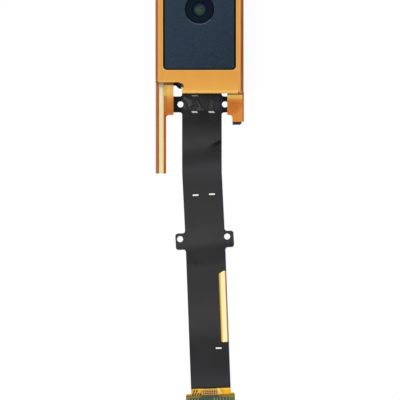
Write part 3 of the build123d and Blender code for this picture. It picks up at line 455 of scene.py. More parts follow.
# A small dark spot at the right corner
dark_spot = from_spot(tree, DARK_SPOT_CENTRE)
face = lay(tree, face, "#5A4010", 1.0, (dark_spot, DARK_SPOT_RADIUS + 0.04, DARK_SPOT_RADIUS - 0.04))
print("notch in mm:", [2 * half for half in NOTCH_HALVES])

# %% Colour of the left tail, from its edge to its root
LEFT_STRIP_EDGE = -5.93
SHOULDER = -17.4
LIGHTER_LINE = -17.18

# Across the edge, a dark line beside the gold strip is the painted shadow of the strip's raised side
edge_colours = bands(
    tree, across,
    [(-7.3, "#B05E28"), (-7.15, "#C66E2C"), (-6.95, "#B66028"), (-6.88, "#5C3C24"), (-6.78, "#4E321E"),
     (-6.7, "#A8803C"), (-5.95, "#A8803C")],
)
# Along the tail, the root is painted lighter near the module, a highlight where the film bends down from the
# end wall, and the wall itself is painted shade
olive = bands(
    tree, along,
    [(-27.2, "#B46524"), (-18.8, "#B86822"), (-17.2, "#B85F16"), (-15.4, "#C4702A"), (-14.4, "#CC7C32"),
     (-14.1, "#E2BC58"), (-12.5, "#EAC25C"), (-12.38, "#8A6A22"), (-12.1, "#7E5A20")],
)
amber_side = bands(
    tree, along,
    [(-27.2, "#B46524"), (-18.8, "#B86822"), (-17.2, "#B96015"), (-15.6, "#C67C2C"), (-14.8, "#D68A3A"),
     (-14.2, "#EEB056"), (-13.5, "#FCC868"), (-12.9, "#FFD676"), (-12.52, "#FFD67E"), (-12.4, "#946038"),
     (-12.1, "#7A4620")],
)
inside = (across, LEFT_STRIP_EDGE - 0.03, LEFT_STRIP_EDGE + 0.03)
left = lay(tree, olive, amber_side, 1.0, (across, -5.5, -5.3))
left = lay(tree, left, edge_colours, 1.0, (across, LEFT_STRIP_EDGE + 0.03, LEFT_STRIP_EDGE - 0.03))
left = lay(tree, left, "#A8501A", 1.0, (along, SHOULDER + 0.1, SHOULDER - 0.1), inside)
# A lighter line across the root
left = lay(tree, left, "#DC9440", 0.6, *strip(along, LIGHTER_LINE, 0.1, 0.03), (across, -5.6, -5.4))
print("left tail's shoulder, mm:", SHOULDER)

# %% Colour of the right tail
LIT_SLOPE = 1.3
RIGHT_EDGE = 7.16

# The root is painted lighter, a highlight where the film bends down from the end wall, and the wall above it
# is painted shade
right = bands(
    tree, along,
    [(-18.6, "#CE7820"), (-17.7, "#D07A20"), (-17.1, "#C66E1C"), (-15.5, "#C76E1A"), (-15.15, "#D27E28"),
     (-14.8, "#E6A048"), (-14.5, "#FCD068"), (-14.3, "#FFD66E"), (-14.1, "#FFDA86"), (-14.03, "#A07020"),
     (-13.9, "#805C18")],
)
slope = add(tree, "ShaderNodeMath", {0: along, 1: -LIT_SLOPE, 2: across}, operation="MULTIPLY_ADD")
right = lay(tree, right, "#D88C38", 0.8, (slope, 27.2, 29.0))
right = lay(tree, right, "#B86430", 1.0, (across, RIGHT_EDGE - 0.08, RIGHT_EDGE + 0.08))
low = lay(tree, left, right, 1.0, (across, -1.0, 0.0))
print("right tail's cut edge, mm:", RIGHT_EDGE)

# %% Put the film's colours together
FACE_LEVEL = 5.4

shaded_wall = (
    (up, FACE_LEVEL + 0.25, FACE_LEVEL), (along, LEFT_FOLD + 0.3, LEFT_FOLD + 0.1), (across, -3.3, -3.5),
)
amber = lay(tree, face, "#8A5424", 1.0, *shaded_wall)
amber = lay(tree, amber, low, 1.0, (up, 2.6, 1.2), (along, -12.0, -12.1))
# The film was rolled along its length, which leaves streaks four times as long as wide
rolled = add(tree, "ShaderNodeVectorMath", {0: where, 1: (1.0, 0.25, 1.0)}, operation="MULTIPLY")
streak = add(tree, "ShaderNodeTexNoise", {"Vector": rolled, "Scale": 1 / 1.2, "Detail": 3.0})
amber = lay(tree, amber, "#F0B862", 0.15, (streak, 0.4, 0.75))
surface(tree, shader, amber, speckle(tree, 0.5), 0.004)
dress(film, "wrap_flex")
print("nodes in the film's finish:", len(tree.nodes))

# %% [markdown]
# ## Lip of the housing
# In the notch between the left tail and the end fold, the black housing shows its low foot. Where two
# halves of a mould meet, the plastic keeps a small lip. A profile swept along the foot could make it,
# but the lip has only two bends, so an outline with its two sides written as pairs of points is
# shorter: it is filled, raised and bevelled along its upper edges.

# %% Raise the lip round the foot
LIP_HEIGHT = 0.33
LIP_BEVEL = 0.05
LIP_INNER = [(-4.55, -12.38), (-3.87, -12.38), (-3.33, -12.92), (-2.93, -12.92)]
LIP_OUTER = [(-2.93, -13.04), (-3.42, -13.04), (-3.96, -12.53), (-4.25, -12.53), (-4.55, -12.68)]

shape = bmesh.new()
base = shape.faces.new([shape.verts.new((x * MM, y * MM, 0.0)) for x, y in LIP_OUTER + LIP_INNER])
raised = bmesh.ops.extrude_face_region(shape, geom=[base])["geom"]
upper = [part for part in raised if isinstance(part, bmesh.types.BMVert)]
bmesh.ops.translate(shape, verts=upper, vec=(0, 0, LIP_HEIGHT * MM))
upper_edges = [part for part in raised if isinstance(part, bmesh.types.BMEdge)]
bmesh.ops.bevel(shape, geom=upper_edges, offset=LIP_BEVEL * MM, segments=3, affect="EDGES")
bmesh.ops.recalc_face_normals(shape, faces=shape.faces)
lip_mesh = bpy.data.meshes.new("housing_foot_lip")
shape.to_mesh(lip_mesh)
shape.free()
lip_mesh.materials.append(polymer)
lip = bpy.data.objects.new("housing_foot_lip", lip_mesh)
bpy.context.collection.objects.link(lip)
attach(lip, "module")
print("faces in the lip:", len(lip_mesh.polygons))

# %% [markdown]
# ## Gold strips
# Two places of the circuits are bare and plated: a strip along the left tail and one on the long tail.
# Real plating is nickel under a thin layer of gold. Each strip is painted palest along its middle, a
# highlight on its rounded top, and darker at its edges as painted shade, with a painted shadow where the film
# laps over its end.

# %% Plate the left tail's strip
# Immersion gold: pale and slightly dull, greyer under the film's shade
left_gold, tree, shader = start_finish(
    "immersion_gold_left", metallic=0.15, roughness=0.42, specular_ior_level=0.2,
)
across, along = places(tree)[1:3]
# Across the strip: a painted shadow line at its left edge, a painted highlight along its pale middle, and
# painted shade towards its right edge
gold = bands(
    tree, across,
    [(-6.82, "#6A563A"), (-6.76, "#A8987A"), (-6.66, "#E0D0B0"), (-6.35, "#E8D3B0"), (-6.1, "#DAC68C"),
     (-5.95, "#C6AA68")],
)
gold = lay(tree, gold, "#A8A68E", 0.8, (along, -13.2, -12.6))
paler = bands(
    tree, across,
    [(-6.82, "#6A563A"), (-6.76, "#A8987A"), (-6.66, "#D8CEA2"), (-6.45, "#DBCE9E"), (-6.2, "#E0C894"),
     (-6.05, "#E4C088"), (-5.95, "#C89C5C")],
)
gold = lay(tree, gold, paler, 1.0, (along, -15.2, -16.2))
gold = lay(tree, gold, "#BC9A70", 1.0, (along, -12.5, -12.4))
surface(tree, shader, gold, speckle(tree, 0.3), 0.002)
dress(left_gold, "left_tail_strip")

# %% Plate the long tail's strip
EAR_CENTRE = (0.962, -38.286)
END_LEAN = 2.15
SLANT_RISE = 0.536
SLANT_START = -6.765

# The same plating in a warmer tone
ground_gold, tree, shader = start_finish(
    "immersion_gold_ground", metallic=0.15, roughness=0.4, specular_ior_level=0.2,
)
across, along = places(tree, EAR_CENTRE, END_LEAN)[1:3]
# Across the strip: painted shade at its edges and a painted highlight along its pale middle
gold = bands(
    tree, across,
    [(1.93, "#40290C"), (2.02, "#5A3E18"), (2.1, "#B89244"), (2.24, "#DCB966"), (2.36, "#F2E0A0"),
     (2.6, "#F4E6B0"), (3.0, "#F8E6AA"), (3.1, "#A47C44"), (3.27, "#7C562A")],
)
# The cover's slanted edge lies over the strip's upper end, and a painted shadow of it darkens the gold there
over = add(tree, "ShaderNodeMath", {0: across, 1: -SLANT_RISE, 2: along}, operation="MULTIPLY_ADD")
gold = lay(tree, gold, "#2E1810", 1.0, (over, SLANT_START, SLANT_START + 0.05))
surface(tree, shader, gold, speckle(tree, 0.25, origin=EAR_CENTRE, turn=END_LEAN), 0.002)
dress(ground_gold, "ground_strip")

# %% [markdown]
# ## Black tail
# The long tail is the same film under a matt black cover layer. It looks almost flat, but under the cover run
# fine copper lines, which lift it by a few thousandths of a millimetre, and the film waves a little: its grey
# is painted darker in each trough and lighter beside it, painted shade and highlight of the waves. The middle
# of the tail isn't straight, so the pattern is laid out by the distance from its own centre line, which leans
# first by almost three and then by two degrees.

# %% Measure the distance from the tail's centre line
TAIL_X = 0.4
TAIL_HALF = 3.3
# Where the centre line's lean changes, and the lean before and after it in degrees
LEANS = [(-26.8, 0.0, 2.8), (-38.29, 2.8, END_LEAN)]

# Black polyimide cover: a flat dark grey, with hardly any sheen
cover, tree, shader = start_finish("black_cover_layer", roughness=0.5, specular_ior_level=0.07)
across, along = places(tree)[1:3]
centre = TAIL_X
for start, before, after in LEANS:
    ease = math.tan(math.radians(after)) - math.tan(math.radians(before))
    past = add(tree, "ShaderNodeMath", {0: start, 1: along}, operation="SUBTRACT")
    past = add(tree, "ShaderNodeMath", {0: past, 1: 0.0}, operation="MAXIMUM")
    centre = add(tree, "ShaderNodeMath", {0: past, 1: ease, 2: centre}, operation="MULTIPLY_ADD")
side = add(tree, "ShaderNodeMath", {0: across, 1: centre}, operation="SUBTRACT")
off_centre = add(tree, "ShaderNodeMath", {0: side}, operation="ABSOLUTE")
print("half the tail's width in mm:", TAIL_HALF)

# %% Colour of the black cover layer, with painted shade and highlight of its waves
WAVE_TROUGHS = [
    # centre, turn in degrees, half width of the trough's floor and of all of it
    ((0.1, -24.3), 8.0, 0.3, 2.1),
    ((0.6, -40.8), 8.0, 0.8, 2.3),
    ((1.4, -57.3), 0.0, 1.6, 5.4),
]

# Bands along the tail: painted shade and highlight of the waves, and darker towards the module
black = bands(
    tree, along,
    [(-63.8, "#343437"), (-60.4, "#363638"), (-51.0, "#3A3A3B"), (-46.0, "#333334"), (-43.4, "#333334"),
     (-38.2, "#3C3C3D"), (-35.0, "#353536"), (-29.0, "#313132"), (-26.6, "#38383A"), (-21.6, "#38383A"),
     (-19.9, "#2A2A2B"), (-18.6, "#1E1E1F"), (-17.1, "#1A1A1B"), (-11.8, "#0E0E0F")],
)
# Painted shade in each trough of the wave
for trough, turn, floor, reach in WAVE_TROUGHS:
    down = places(tree, trough, turn)[2]
    black = lay(tree, black, "#29292A", 1.0, *strip(down, 0.0, reach, floor))
cloud = speckle(tree, 3.0)
black = lay(tree, black, "#303133", 0.4, (cloud, 0.4, 0.7))
print("troughs of the wave:", len(WAVE_TROUGHS))

# %% Edges of the tail
EDGE_FADE = 0.12
UPPER_EARS = -18.25
FOLD_SHADOW = (-14.1, -13.65)

right_rim = ((side, TAIL_HALF - 0.3, TAIL_HALF), (side, TAIL_HALF + EDGE_FADE, TAIL_HALF))
black = lay(tree, black, "#2A2642", 0.8, *right_rim)
left_rim = ((side, 0.2 - TAIL_HALF, -TAIL_HALF), (side, -TAIL_HALF - EDGE_FADE, -TAIL_HALF))
black = lay(tree, black, "#3A2A2A", 0.6, *left_rim)
upper_ear = ((off_centre, TAIL_HALF, TAIL_HALF + 0.2), (along, UPPER_EARS - 0.25, UPPER_EARS + 0.25))
black = lay(tree, black, "#0B090A", 1.0, *upper_ear)
# Amber light from the film that hangs over the tail warms its upper end
start, end = FOLD_SHADOW
black = lay(tree, black, "#36250A", 1.0, (along, start - 0.04, start + 0.04), (along, end + 0.15, end - 0.15))
print("upper ears end at mm:", UPPER_EARS)

# %% Painted shade of a dent and of a buckle in the cover layer
DENT_CENTRE, DENT_HALVES, DENT_TURN = (-0.66, -42.12), (0.75, 0.3), -22.0
BUCKLE_CENTRE, BUCKLE_TURN = (2.42, -21.95), 29.0
BUCKLE_SHADES = [
    # strength, and steps down from the fold, back to it and along it
    (0.95, (0.0, -0.25), (-1.05, -0.45), (-1.4, 0.3)),
    (0.42, (0.0, -0.9), (-2.8, -1.0), (-3.5, 0.0)),
]

# Painted shade in a dent
dent = from_spot(tree, DENT_CENTRE, DENT_HALVES, DENT_TURN)
black = lay(tree, black, "#101011", 0.4, (dent, 1.0, 0.2))
# At the right edge the shade starts sharp at the fold and fades down the tail
fold_across, fold_up = places(tree, BUCKLE_CENTRE, BUCKLE_TURN)[1:3]
for strength, starts, fades, reach in BUCKLE_SHADES:
    shade = ((fold_up, *starts), (fold_up, *fades), (fold_across, *reach))
    black = lay(tree, black, "#030303", strength, *shade)
print("shades below the buckle:", len(BUCKLE_SHADES))

# %% Colour of the bare end
COVER_END = (1.885, -62.869)

end_across, end_along = places(tree, COVER_END, END_LEAN)[1:3]
bare = bands(
    tree, end_across,
    [(-4.2, "#D8983A"), (-3.3, "#D8A856"), (-2.4, "#E0AE44"), (-2.0, "#E8B83C"), (-1.6, "#D09C3C"),
     (-1.2, "#A8762E"), (-0.9, "#865824"), (0.8, "#8C5E2A"), (1.0, "#B08030"), (1.15, "#F2C454"),
     (1.35, "#EAB946"), (1.55, "#D2A034"), (1.85, "#D8A428"), (2.2, "#FAB826"), (2.9, "#FFBA20"),
     (3.2, "#E4AA1C"), (4.2, "#C08C1C")],
)
# Painted sheen on the lower part of the field, a painted highlight just past the cover's end, a painted
# shadow line before the board's edge, and the painted shadow of the cover's edge
bare = lay(tree, bare, "#7C7034", 0.4, (end_along, -0.95, -1.15))
bare = lay(tree, bare, "#F4DC78", 0.7, *strip(end_along, -0.26, 0.14, 0.04), (end_across, -2.8, -1.4))
bare = lay(tree, bare, "#7A5418", 1.0, (end_along, -1.14, -1.26))
bare = lay(tree, bare, "#3A1E08", 1.0, (end_along, -0.12, -0.06))
print("cover ends at mm:", COVER_END)

# %% Painted shade along the cover's end, and a painted shadow past the lower end of the gold strip
STRIP_END = -17.1

# Painted shade along the cover's end
black = lay(tree, black, "#2C1F04", 1.0, (end_along, 0.26, 0.06))
# A painted shadow just past the lower end of the gold strip
strip_across, strip_along = places(tree, EAR_CENTRE, END_LEAN)[1:3]
beyond = (*strip(strip_along, STRIP_END, 0.2, 0.08), (strip_across, 1.85, 2.05))
black = lay(tree, black, "#2E1810", 1.0, *beyond)
tail_colour = lay(tree, black, bare, 1.0, (end_along, 0.01, -0.01))
print("strip's length past the ears, mm:", -STRIP_END)

# %% Relief of the copper lines under the cover
LINE_PITCH = 0.3

lines = add(tree, "ShaderNodeMath", {0: side, 1: LINE_PITCH / 2}, operation="PINGPONG")
lines = rise(tree, (lines, 0.04, 0.09))
fine = speckle(tree, 0.15)
height = add(tree, "ShaderNodeMath", {0: lines, 1: 0.5, 2: fine}, operation="MULTIPLY_ADD")
surface(tree, shader, tail_colour, height, 0.003)
dress(cover, "main_flex")
print("copper lines across the tail:", round(2 * TAIL_HALF / LINE_PITCH))

# %% [markdown]
# ## Green board and its plug
# The end board is glass laminate with a green solder mask. Under the mask run copper lines, which show
# as a slightly lighter green, and at the cut edge the laminate is pale and unpainted. The edge is found
# by the direction of the surface, and the lines by a square wave in the board's own frame.

# %% Mask the board
BOARD_EDGE = (1.814, -64.173)
BOARD_LINE_PITCH = 0.32

# Green solder mask: dark green, tinged yellow near its edges
board, tree, shader = start_finish("green_solder_mask", roughness=0.35, specular_ior_level=0.08)
across, along = places(tree, BOARD_EDGE, END_LEAN)[1:3]
green = bands(
    tree, across,
    [(-4.08, "#8C7E2C"), (-3.7, "#82772C"), (-3.2, "#44523F"), (-1.0, "#405243"), (1.0, "#435542"),
     (2.7, "#4E5E3C"), (3.2, "#6A742E"), (4.08, "#60722A")],
)
line = add(tree, "ShaderNodeMath", {0: across, 1: BOARD_LINE_PITCH / 2}, operation="PINGPONG")
spread = speckle(tree, 1.6, detail=1.0, origin=BOARD_EDGE, turn=END_LEAN)
traces = rise(tree, (line, 0.05, 0.08), (spread, 0.48, 0.52))
faint = add(tree, "ShaderNodeMath", {0: traces, 1: 0.4}, operation="MULTIPLY")
green = lay(tree, green, "#5E7A4E", faint)
outwards = add(tree, "ShaderNodeMath", {0: across}, operation="ABSOLUTE")
green = lay(tree, green, "#96862E", 0.8, (along, -0.4, -0.16), (outwards, 1.2, 2.2))
normal = add(tree, "ShaderNodeNewGeometry").outputs["Normal"]
facing = add(tree, "ShaderNodeSeparateXYZ", {0: normal}).outputs["Z"]
facing = add(tree, "ShaderNodeMath", {0: facing}, operation="ABSOLUTE")
green = lay(tree, green, "#8A7434", 1.0, (facing, 0.6, 0.3))
surface(tree, shader, green, traces, 0.006)
dress(board, "connector_board")

# %% Finish the plug, its contacts and clamps
# Glass-filled polymer: a softer black than the housing's, and duller
plug_black = mottled("plug_liquid_crystal_polymer", "#2A2A2D", "#343438", 0.3, 0.003, roughness=0.5)
dress(plug_black, "connector_housing")
# Hard gold on the contacts: deeper in colour than the pale plating of the strips
hard_gold = mottled("hard_gold", "#E2B65C", "#D4A54C", 0.2, 0.001, metallic=1.0, roughness=0.22)
dress(hard_gold, "connector_contacts")
# Tinned brass: soft grey, a little rough from the solder bath
tinned_brass = mottled("tinned_brass", "#C9C8C2", "#B3B2AC", 0.15, 0.003, metallic=1.0, roughness=0.35)
dress(tinned_brass, "connector_clamps")
print("finishes so far:", len(bpy.data.materials))

# %% Finish the chip on the right tail
# Chip: dark navy epoxy, with a brown painted shadow where the film's edge lies over it
chip_epoxy, tree, shader = start_finish("navy_chip_epoxy", roughness=0.5, specular_ior_level=0.1)
along = places(tree)[2]
navy = bands(
    tree, along, [(-19.05, "#2B2D3C"), (-18.88, "#322E3A"), (-18.74, "#3A1E10"), (-18.5, "#3A1E10")],
)
sandy = speckle(tree, 0.15)
surface(tree, shader, lay(tree, navy, "#26262F", 0.3, (sandy, 0.4, 0.7)), sandy, 0.003)
dress(chip_epoxy, "right_tail_chip")

# %% [markdown]
# ## Exit tape
# Where the tail leaves the module, a piece of glossy black tape is pressed over it. It doesn't lie flat:
# folds and trapped air raise thin curved ridges, and these catch the lamps as grey streaks, to which a
# painted grey highlight on their tops adds. Bump alone would look flat from the side, so the tape is a fine
# mesh, and each ridge lifts its points. A ridge is an arc with a round profile, added to a soft unevenness
# over the whole tape.

# %% Where the ridges of the tape run
RIDGES = [
    # start x, start y, end x, end y, bow, width, all in mm
    (-2.22, -14.71, -1.53, -15.58, -0.25, 0.3),
    (-1.67, -15.46, -1.45, -16.38, 0.1, 0.12),
    (-2.37, -15.85, -2.1, -16.65, 0.08, 0.12),
    (-1.22, -15.0, -1.15, -15.55, 0.05, 0.11),
    (-1.02, -14.8, -0.55, -14.5, 0.05, 0.1),
    (-0.7, -15.4, -0.72, -15.55, 0.0, 0.1),
    (-0.33, -15.16, 0.15, -16.3, -0.1, 0.12),
    (0.1, -16.25, 0.78, -16.6, 0.1, 0.12),
    (-0.25, -16.35, 0.05, -16.68, 0.02, 0.14),
    (1.5, -15.55, 1.13, -15.83, 0.04, 0.1),
    (1.85, -15.5, 2.1, -15.95, 0.0, 0.14),
    (1.67, -15.95, 1.85, -16.33, 0.0, 0.1),
    (2.1, -14.9, 2.1, -16.4, -0.08, 0.11),
    (2.53, -14.9, 2.53, -15.5, 0.1, 0.09),
]
print("ridges:", len(RIDGES))

# %% Height of the tape over a place
RIDGE_HEIGHT = 0.022
RIDGE_WIDTH = 0.12
SWELL_HEIGHT = 0.006
RING_CENTRE, RING_RADIUS, RING_WIDTH = (3.12, -15.91), 0.24, 0.08


def ridge_height(x, y, start_x, start_y, end_x, end_y, bow, width):
    """Height that one ridge adds at some places: a round line along a bowed path."""
    run_x, run_y = end_x - start_x, end_y - start_y
    length = math.hypot(run_x, run_y)
    share = ((x - start_x) * run_x + (y - start_y) * run_y) / length ** 2
    off = ((x - start_x) * run_y - (y - start_y) * run_x) / length
    inside = np.clip(share, 0, 1)
    reach = np.hypot(off - bow * 4 * inside * (1 - inside), (share - inside) * length)
    return np.exp(-(reach / width) ** 2) * width / RIDGE_WIDTH


def tape_height(x, y):
    """Height of the wrinkled tape above its flat face: ridges, a trapped ring and soft unevenness."""
    total = sum(ridge_height(x, y, *ridge) for ridge in RIDGES)
    ring = np.hypot(x - RING_CENTRE[0], y - RING_CENTRE[1]) - RING_RADIUS
    total = total + 0.5 * np.exp(-(ring / RING_WIDTH) ** 2)
    swell = np.sin(1.9 * x + 0.7 * y) * np.sin(2.6 * y - 0.5 * x)
    return RIDGE_HEIGHT * np.clip(total, 0, 1.6) + SWELL_HEIGHT * (1 + swell)


on_ring = tape_height(RING_CENTRE[0] + RING_RADIUS, RING_CENTRE[1])
print("height on the ring in mm:", round(float(on_ring), 3))

# %% Make the tape
TAPE_LENGTH_CUT = 0.29
TAPE_ACROSS = 150
TAPE_ALONG = 70


def grid_sheet(name, low, high, across, along, height, base):
    """A closed thin sheet between two corners in mm, its top lifted by a function of the place."""
    xs, ys = np.meshgrid(np.linspace(low[0], high[0], across + 1), np.linspace(low[1], high[1], along + 1))
    top = np.stack([xs, ys, base[1] + height(xs, ys)], axis=-1).reshape(-1, 3)
    bottom = np.stack([xs, ys, np.full_like(xs, base[0])], axis=-1).reshape(-1, 3)
    row = across + 1
    count = len(top)
    faces = []
    for j in range(along):
        for i in range(across):
            a = j * row + i
            faces.append((a, a + 1, a + row + 1, a + row))
            faces.append(tuple(count + n for n in (a, a + row, a + row + 1, a + 1)))
    rim = [i for i in range(across)] + [across + j * row for j in range(along)]
    rim += [along * row + across - i for i in range(across)] + [(along - j) * row for j in range(along)]
    faces += [(a, count + a, count + b, b) for a, b in zip(rim, rim[1:] + rim[:1])]
    mesh = bpy.data.meshes.new(name)
    mesh.from_pydata((np.concatenate([top, bottom]) * MM).tolist(), [], faces)
    mesh.shade_smooth()
    lift = mesh.attributes.new("lift", "FLOAT", "POINT")
    lift.data.foreach_set("value", np.concatenate([top[:, 2] - base[1], np.zeros(count)]))
    made = bpy.data.objects.new(name, mesh)
    bpy.context.collection.objects.link(made)
    return made


tape_low, tape_high = (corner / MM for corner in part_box("exit_tape"))
tape = grid_sheet(
    "wrinkled_exit_tape", (tape_low.x, tape_low.y + TAPE_LENGTH_CUT), (tape_high.x, tape_high.y),
    TAPE_ACROSS, TAPE_ALONG, tape_height, (tape_low.z, tape_high.z),
)
print("faces in the tape:", len(tape.data.polygons))

# %% Gloss the tape
# Glossy polyester tape: dusty in patches, with a painted grey highlight on top of its ridges
tape_finish, tree, shader = start_finish("glossy_black_tape", roughness=0.3, specular_ior_level=0.12)
gloss_black = lay(tree, "#191B1A", "#232524", 1.0, (speckle(tree, 0.4), 0.4, 0.8))
lifted = add(tree, "ShaderNodeAttribute", attribute_name="lift").outputs["Fac"]
gloss_black = lay(tree, gloss_black, "#4A4E4B", 0.55, (lifted, 0.6 * RIDGE_HEIGHT, 1.5 * RIDGE_HEIGHT))
surface(tree, shader, gloss_black, speckle(tree, 0.25), 0.002)
tape.data.materials.append(tape_finish)
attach(tape, "module")
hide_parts("exit_tape")
print("nodes in the tape's finish:", len(tree.nodes))

# %% [markdown]
# ## A tree for what repeats
# The print marks, the solder pads and the capacitors each repeat one shape at a list of places. A small
# Geometry Nodes tree does that: it takes the places as points with a turn, puts a rounded block on
# each, and drops them onto the surface below. The result is turned to a plain mesh, because the
# exported model drops instances.

# %% Build the tree that repeats a block
SOCKETS = [("Carrier", "Object"), ("Block size", "Vector"), ("Slant", "Float"), ("Corner", "Float")]
# Corners this close, in mm, are one corner
WELD_DISTANCE = 0.00001


def block_tree(material):
    """Geometry Nodes: a rounded block on every point, dropped onto the object that carries it."""
    tree = bpy.data.node_groups.new("repeat_block", "GeometryNodeTree")
    for name, kind in [("Geometry", "Geometry")] + SOCKETS:
        tree.interface.new_socket(name, in_out="INPUT", socket_type="NodeSocket" + kind)
    tree.interface.new_socket("Geometry", in_out="OUTPUT", socket_type="NodeSocketGeometry")
    given = add(tree, "NodeGroupInput").outputs
    carrier = add(tree, "GeometryNodeObjectInfo", {"Object": given["Carrier"]})
    drop = add(
        tree, "GeometryNodeRaycast",
        {"Target Geometry": carrier.outputs["Geometry"], "Ray Direction": (0, 0, -1), "Ray Length": 1.0},
    )
    landing = {"Geometry": given["Geometry"], "Position": drop.outputs["Hit Position"]}
    landed = add(tree, "GeometryNodeSetPosition", landing)
    size = add(tree, "ShaderNodeSeparateXYZ", {0: given["Block size"]}).outputs
    outline = add(
        tree, "GeometryNodeCurvePrimitiveQuadrilateral",
        {"Width": size["X"], "Height": size["Y"], "Offset": given["Slant"]}, mode="PARALLELOGRAM",
    )
    corners = {"Curve": outline, "Radius": given["Corner"], "Count": 4}
    rounded = add(tree, "GeometryNodeFilletCurve", corners, mode="POLY")
    plate = add(tree, "GeometryNodeFillCurve", {"Curve": rounded}, mode="NGONS")
    raised = add(tree, "GeometryNodeExtrudeMesh", {"Mesh": plate, "Offset Scale": size["Z"]})
    base = add(tree, "GeometryNodeFlipFaces", {"Mesh": plate})
    closed = add(tree, "GeometryNodeJoinGeometry")
    for part in (raised, base):
        tree.links.new(part.outputs[0], closed.inputs[0])
    block = add(tree, "GeometryNodeMergeByDistance", {"Geometry": closed, "Distance": WELD_DISTANCE * MM})
    turn = add(tree, "GeometryNodeInputNamedAttribute", {"Name": "turn"}, data_type="FLOAT")
    spin = add(tree, "ShaderNodeCombineXYZ", {"Z": turn})
    laying = {"Points": landed, "Instance": block, "Rotation": spin}
    copies = add(tree, "GeometryNodeInstanceOnPoints", laying)
    real = add(tree, "GeometryNodeRealizeInstances", {"Geometry": copies})
    painted = add(tree, "GeometryNodeSetMaterial", {"Geometry": real, "Material": material})
    add(tree, "NodeGroupOutput", {"Geometry": painted})
    return tree


print("values that a block takes:", [name for name, kind in SOCKETS])

# %% Run a tree over a list of places
DROP_HEIGHT = 8.0


def repeat_block(name, spots, carrier, size, corner, material, slant=0.0):
    """Blocks of a size in mm at spots of x, y and turn, on a carrier, as one plain mesh."""
    mesh = bpy.data.meshes.new(name)
    mesh.from_pydata([(x * MM, y * MM, DROP_HEIGHT * MM) for x, y, turn in spots], [], [])
    turns = mesh.attributes.new("turn", "FLOAT", "POINT")
    turns.data.foreach_set("value", [math.radians(turn) for x, y, turn in spots])
    made = bpy.data.objects.new(name, mesh)
    bpy.context.collection.objects.link(made)
    modifier = made.modifiers.new("blocks", "NODES")
    modifier.node_group = block_tree(material)
    values = {
        "Carrier": carrier, "Block size": [side * MM for side in size],
        "Slant": slant * MM, "Corner": corner * MM,
    }
    for socket in modifier.node_group.interface.items_tree:
        if socket.in_out == "INPUT" and socket.name in values:
            modifier[socket.identifier] = values[socket.name]
    shapes = bpy.context.evaluated_depsgraph_get()
    made.data = bpy.data.meshes.new_from_object(made.evaluated_get(shapes))
    made.modifiers.clear()
    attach(made, "module")
    print(name, "faces:", len(made.data.polygons))
    return made


# %% [markdown]
# ## Print marks
# Short white dashes are printed on the black tail. Ink is thin but not flat, so each dash is a rounded
# bar 0.015 mm high that lies on the film and follows its wave.

# %% Print the dashes
INK_THICK = 0.015

# Screen ink: matt white, grey where it is worn, and painted greyer towards the module as painted shade under
# the fold
ink, tree, shader = start_finish("white_screen_ink", roughness=0.6)
along = places(tree)[2]
ink_with_painted_shade = bands(tree, along, [(-25.0, "#F4F4F2"), (-17.2, "#BCBEC0"), (-16.7, "#C0C2C4"), (-14.6, "#8A8784")])
wear_and_highlight = speckle(tree, 0.12)
surface(tree, shader, lay(tree, ink_with_painted_shade, "#8E8E8C", 0.4, (wear_and_highlight, 0.5, 0.75)), wear_and_highlight, 0.004)

flex_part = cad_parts["main_flex"]
mid_dashes = [(-0.65, -30.77, 3.0), (2.08, -30.61, 1.0), (3.19, -56.25, 0.5)]
for name, spots, carrier, length, width, corner, slant in [
    ("tape_dash", [(-0.75, -14.2, 0.0)], tape, 1.05, 0.2, 0.05, -0.2),
    ("exit_dashes", [(-0.82, -16.92, 0.0), (2.0, -16.92, 0.0)], flex_part, 0.94, 0.28, 0.05, -0.24),
    ("mid_dashes", mid_dashes, flex_part, 1.0, 0.25, 0.1, 0.0),
]:
    repeat_block(name, spots, carrier, (length, width, INK_THICK), corner, ink, slant)

# %% [markdown]
# ## Pads and lines on the bare end
# Between the black cover and the green board the circuit lies bare: slanted copper lines on the left, a
# small field of plated holes in the middle and a plain copper area with one bright line on the right,
# with three copper dots near them. A maker etches lines and holes at a pitch, so loops place them.

# %% A spot in a frame that leans with the tail's end
def leaning(origin, x, y, turn=0.0):
    """A spot given in a leaning frame, as x, y and turn on the object."""
    lean = math.radians(END_LEAN)
    return (
        origin[0] + x * math.cos(lean) - y * math.sin(lean),
        origin[1] + x * math.sin(lean) + y * math.cos(lean),
        turn + END_LEAN,
    )


print("1 mm past the cover's end:", [round(part, 3) for part in leaning(COVER_END, 0.0, -1.0)])

# %% Lay the plated holes
HOLE_COLUMNS, HOLE_ROWS = 6, 3
HOLE_PITCH = (0.36, 0.29)
HOLE_FIELD = (-0.15, -0.78)
HOLE_SIZE = (0.19, 0.16, 0.012)

# Tinned copper: a pale, warm metal, a little dull
pad_metal = mottled("tinned_pads", "#CAA26C", "#B68C54", 0.1, 0.002, metallic=0.3, roughness=0.4)
holes = [
    leaning(
        COVER_END,
        HOLE_FIELD[0] + (column - (HOLE_COLUMNS - 1) / 2) * HOLE_PITCH[0],
        HOLE_FIELD[1] + (row - (HOLE_ROWS - 1) / 2) * HOLE_PITCH[1],
    )
    for column in range(HOLE_COLUMNS)
    for row in range(HOLE_ROWS)
]
repeat_block("plated_holes", holes, flex_part, HOLE_SIZE, 0.05, pad_metal)

# %% Lay the lines and dots
LINE_STEP = 0.42
LINE_CORNER, DOT_CORNER = 0.04, 0.05
LINE_SIZE = (0.5, 0.23, 0.01)
BRIGHT_LINE_SIZE = (1.0, 0.16, 0.01)
DOT_SIZE = (0.3, 0.18, 0.01)

# Etched copper under a film of resin: brown and nearly dull
line_metal = mottled(
    "etched_copper_lines", "#6A4408", "#543606", 0.1, 0.002, roughness=0.5, specular_ior_level=0.1,
)
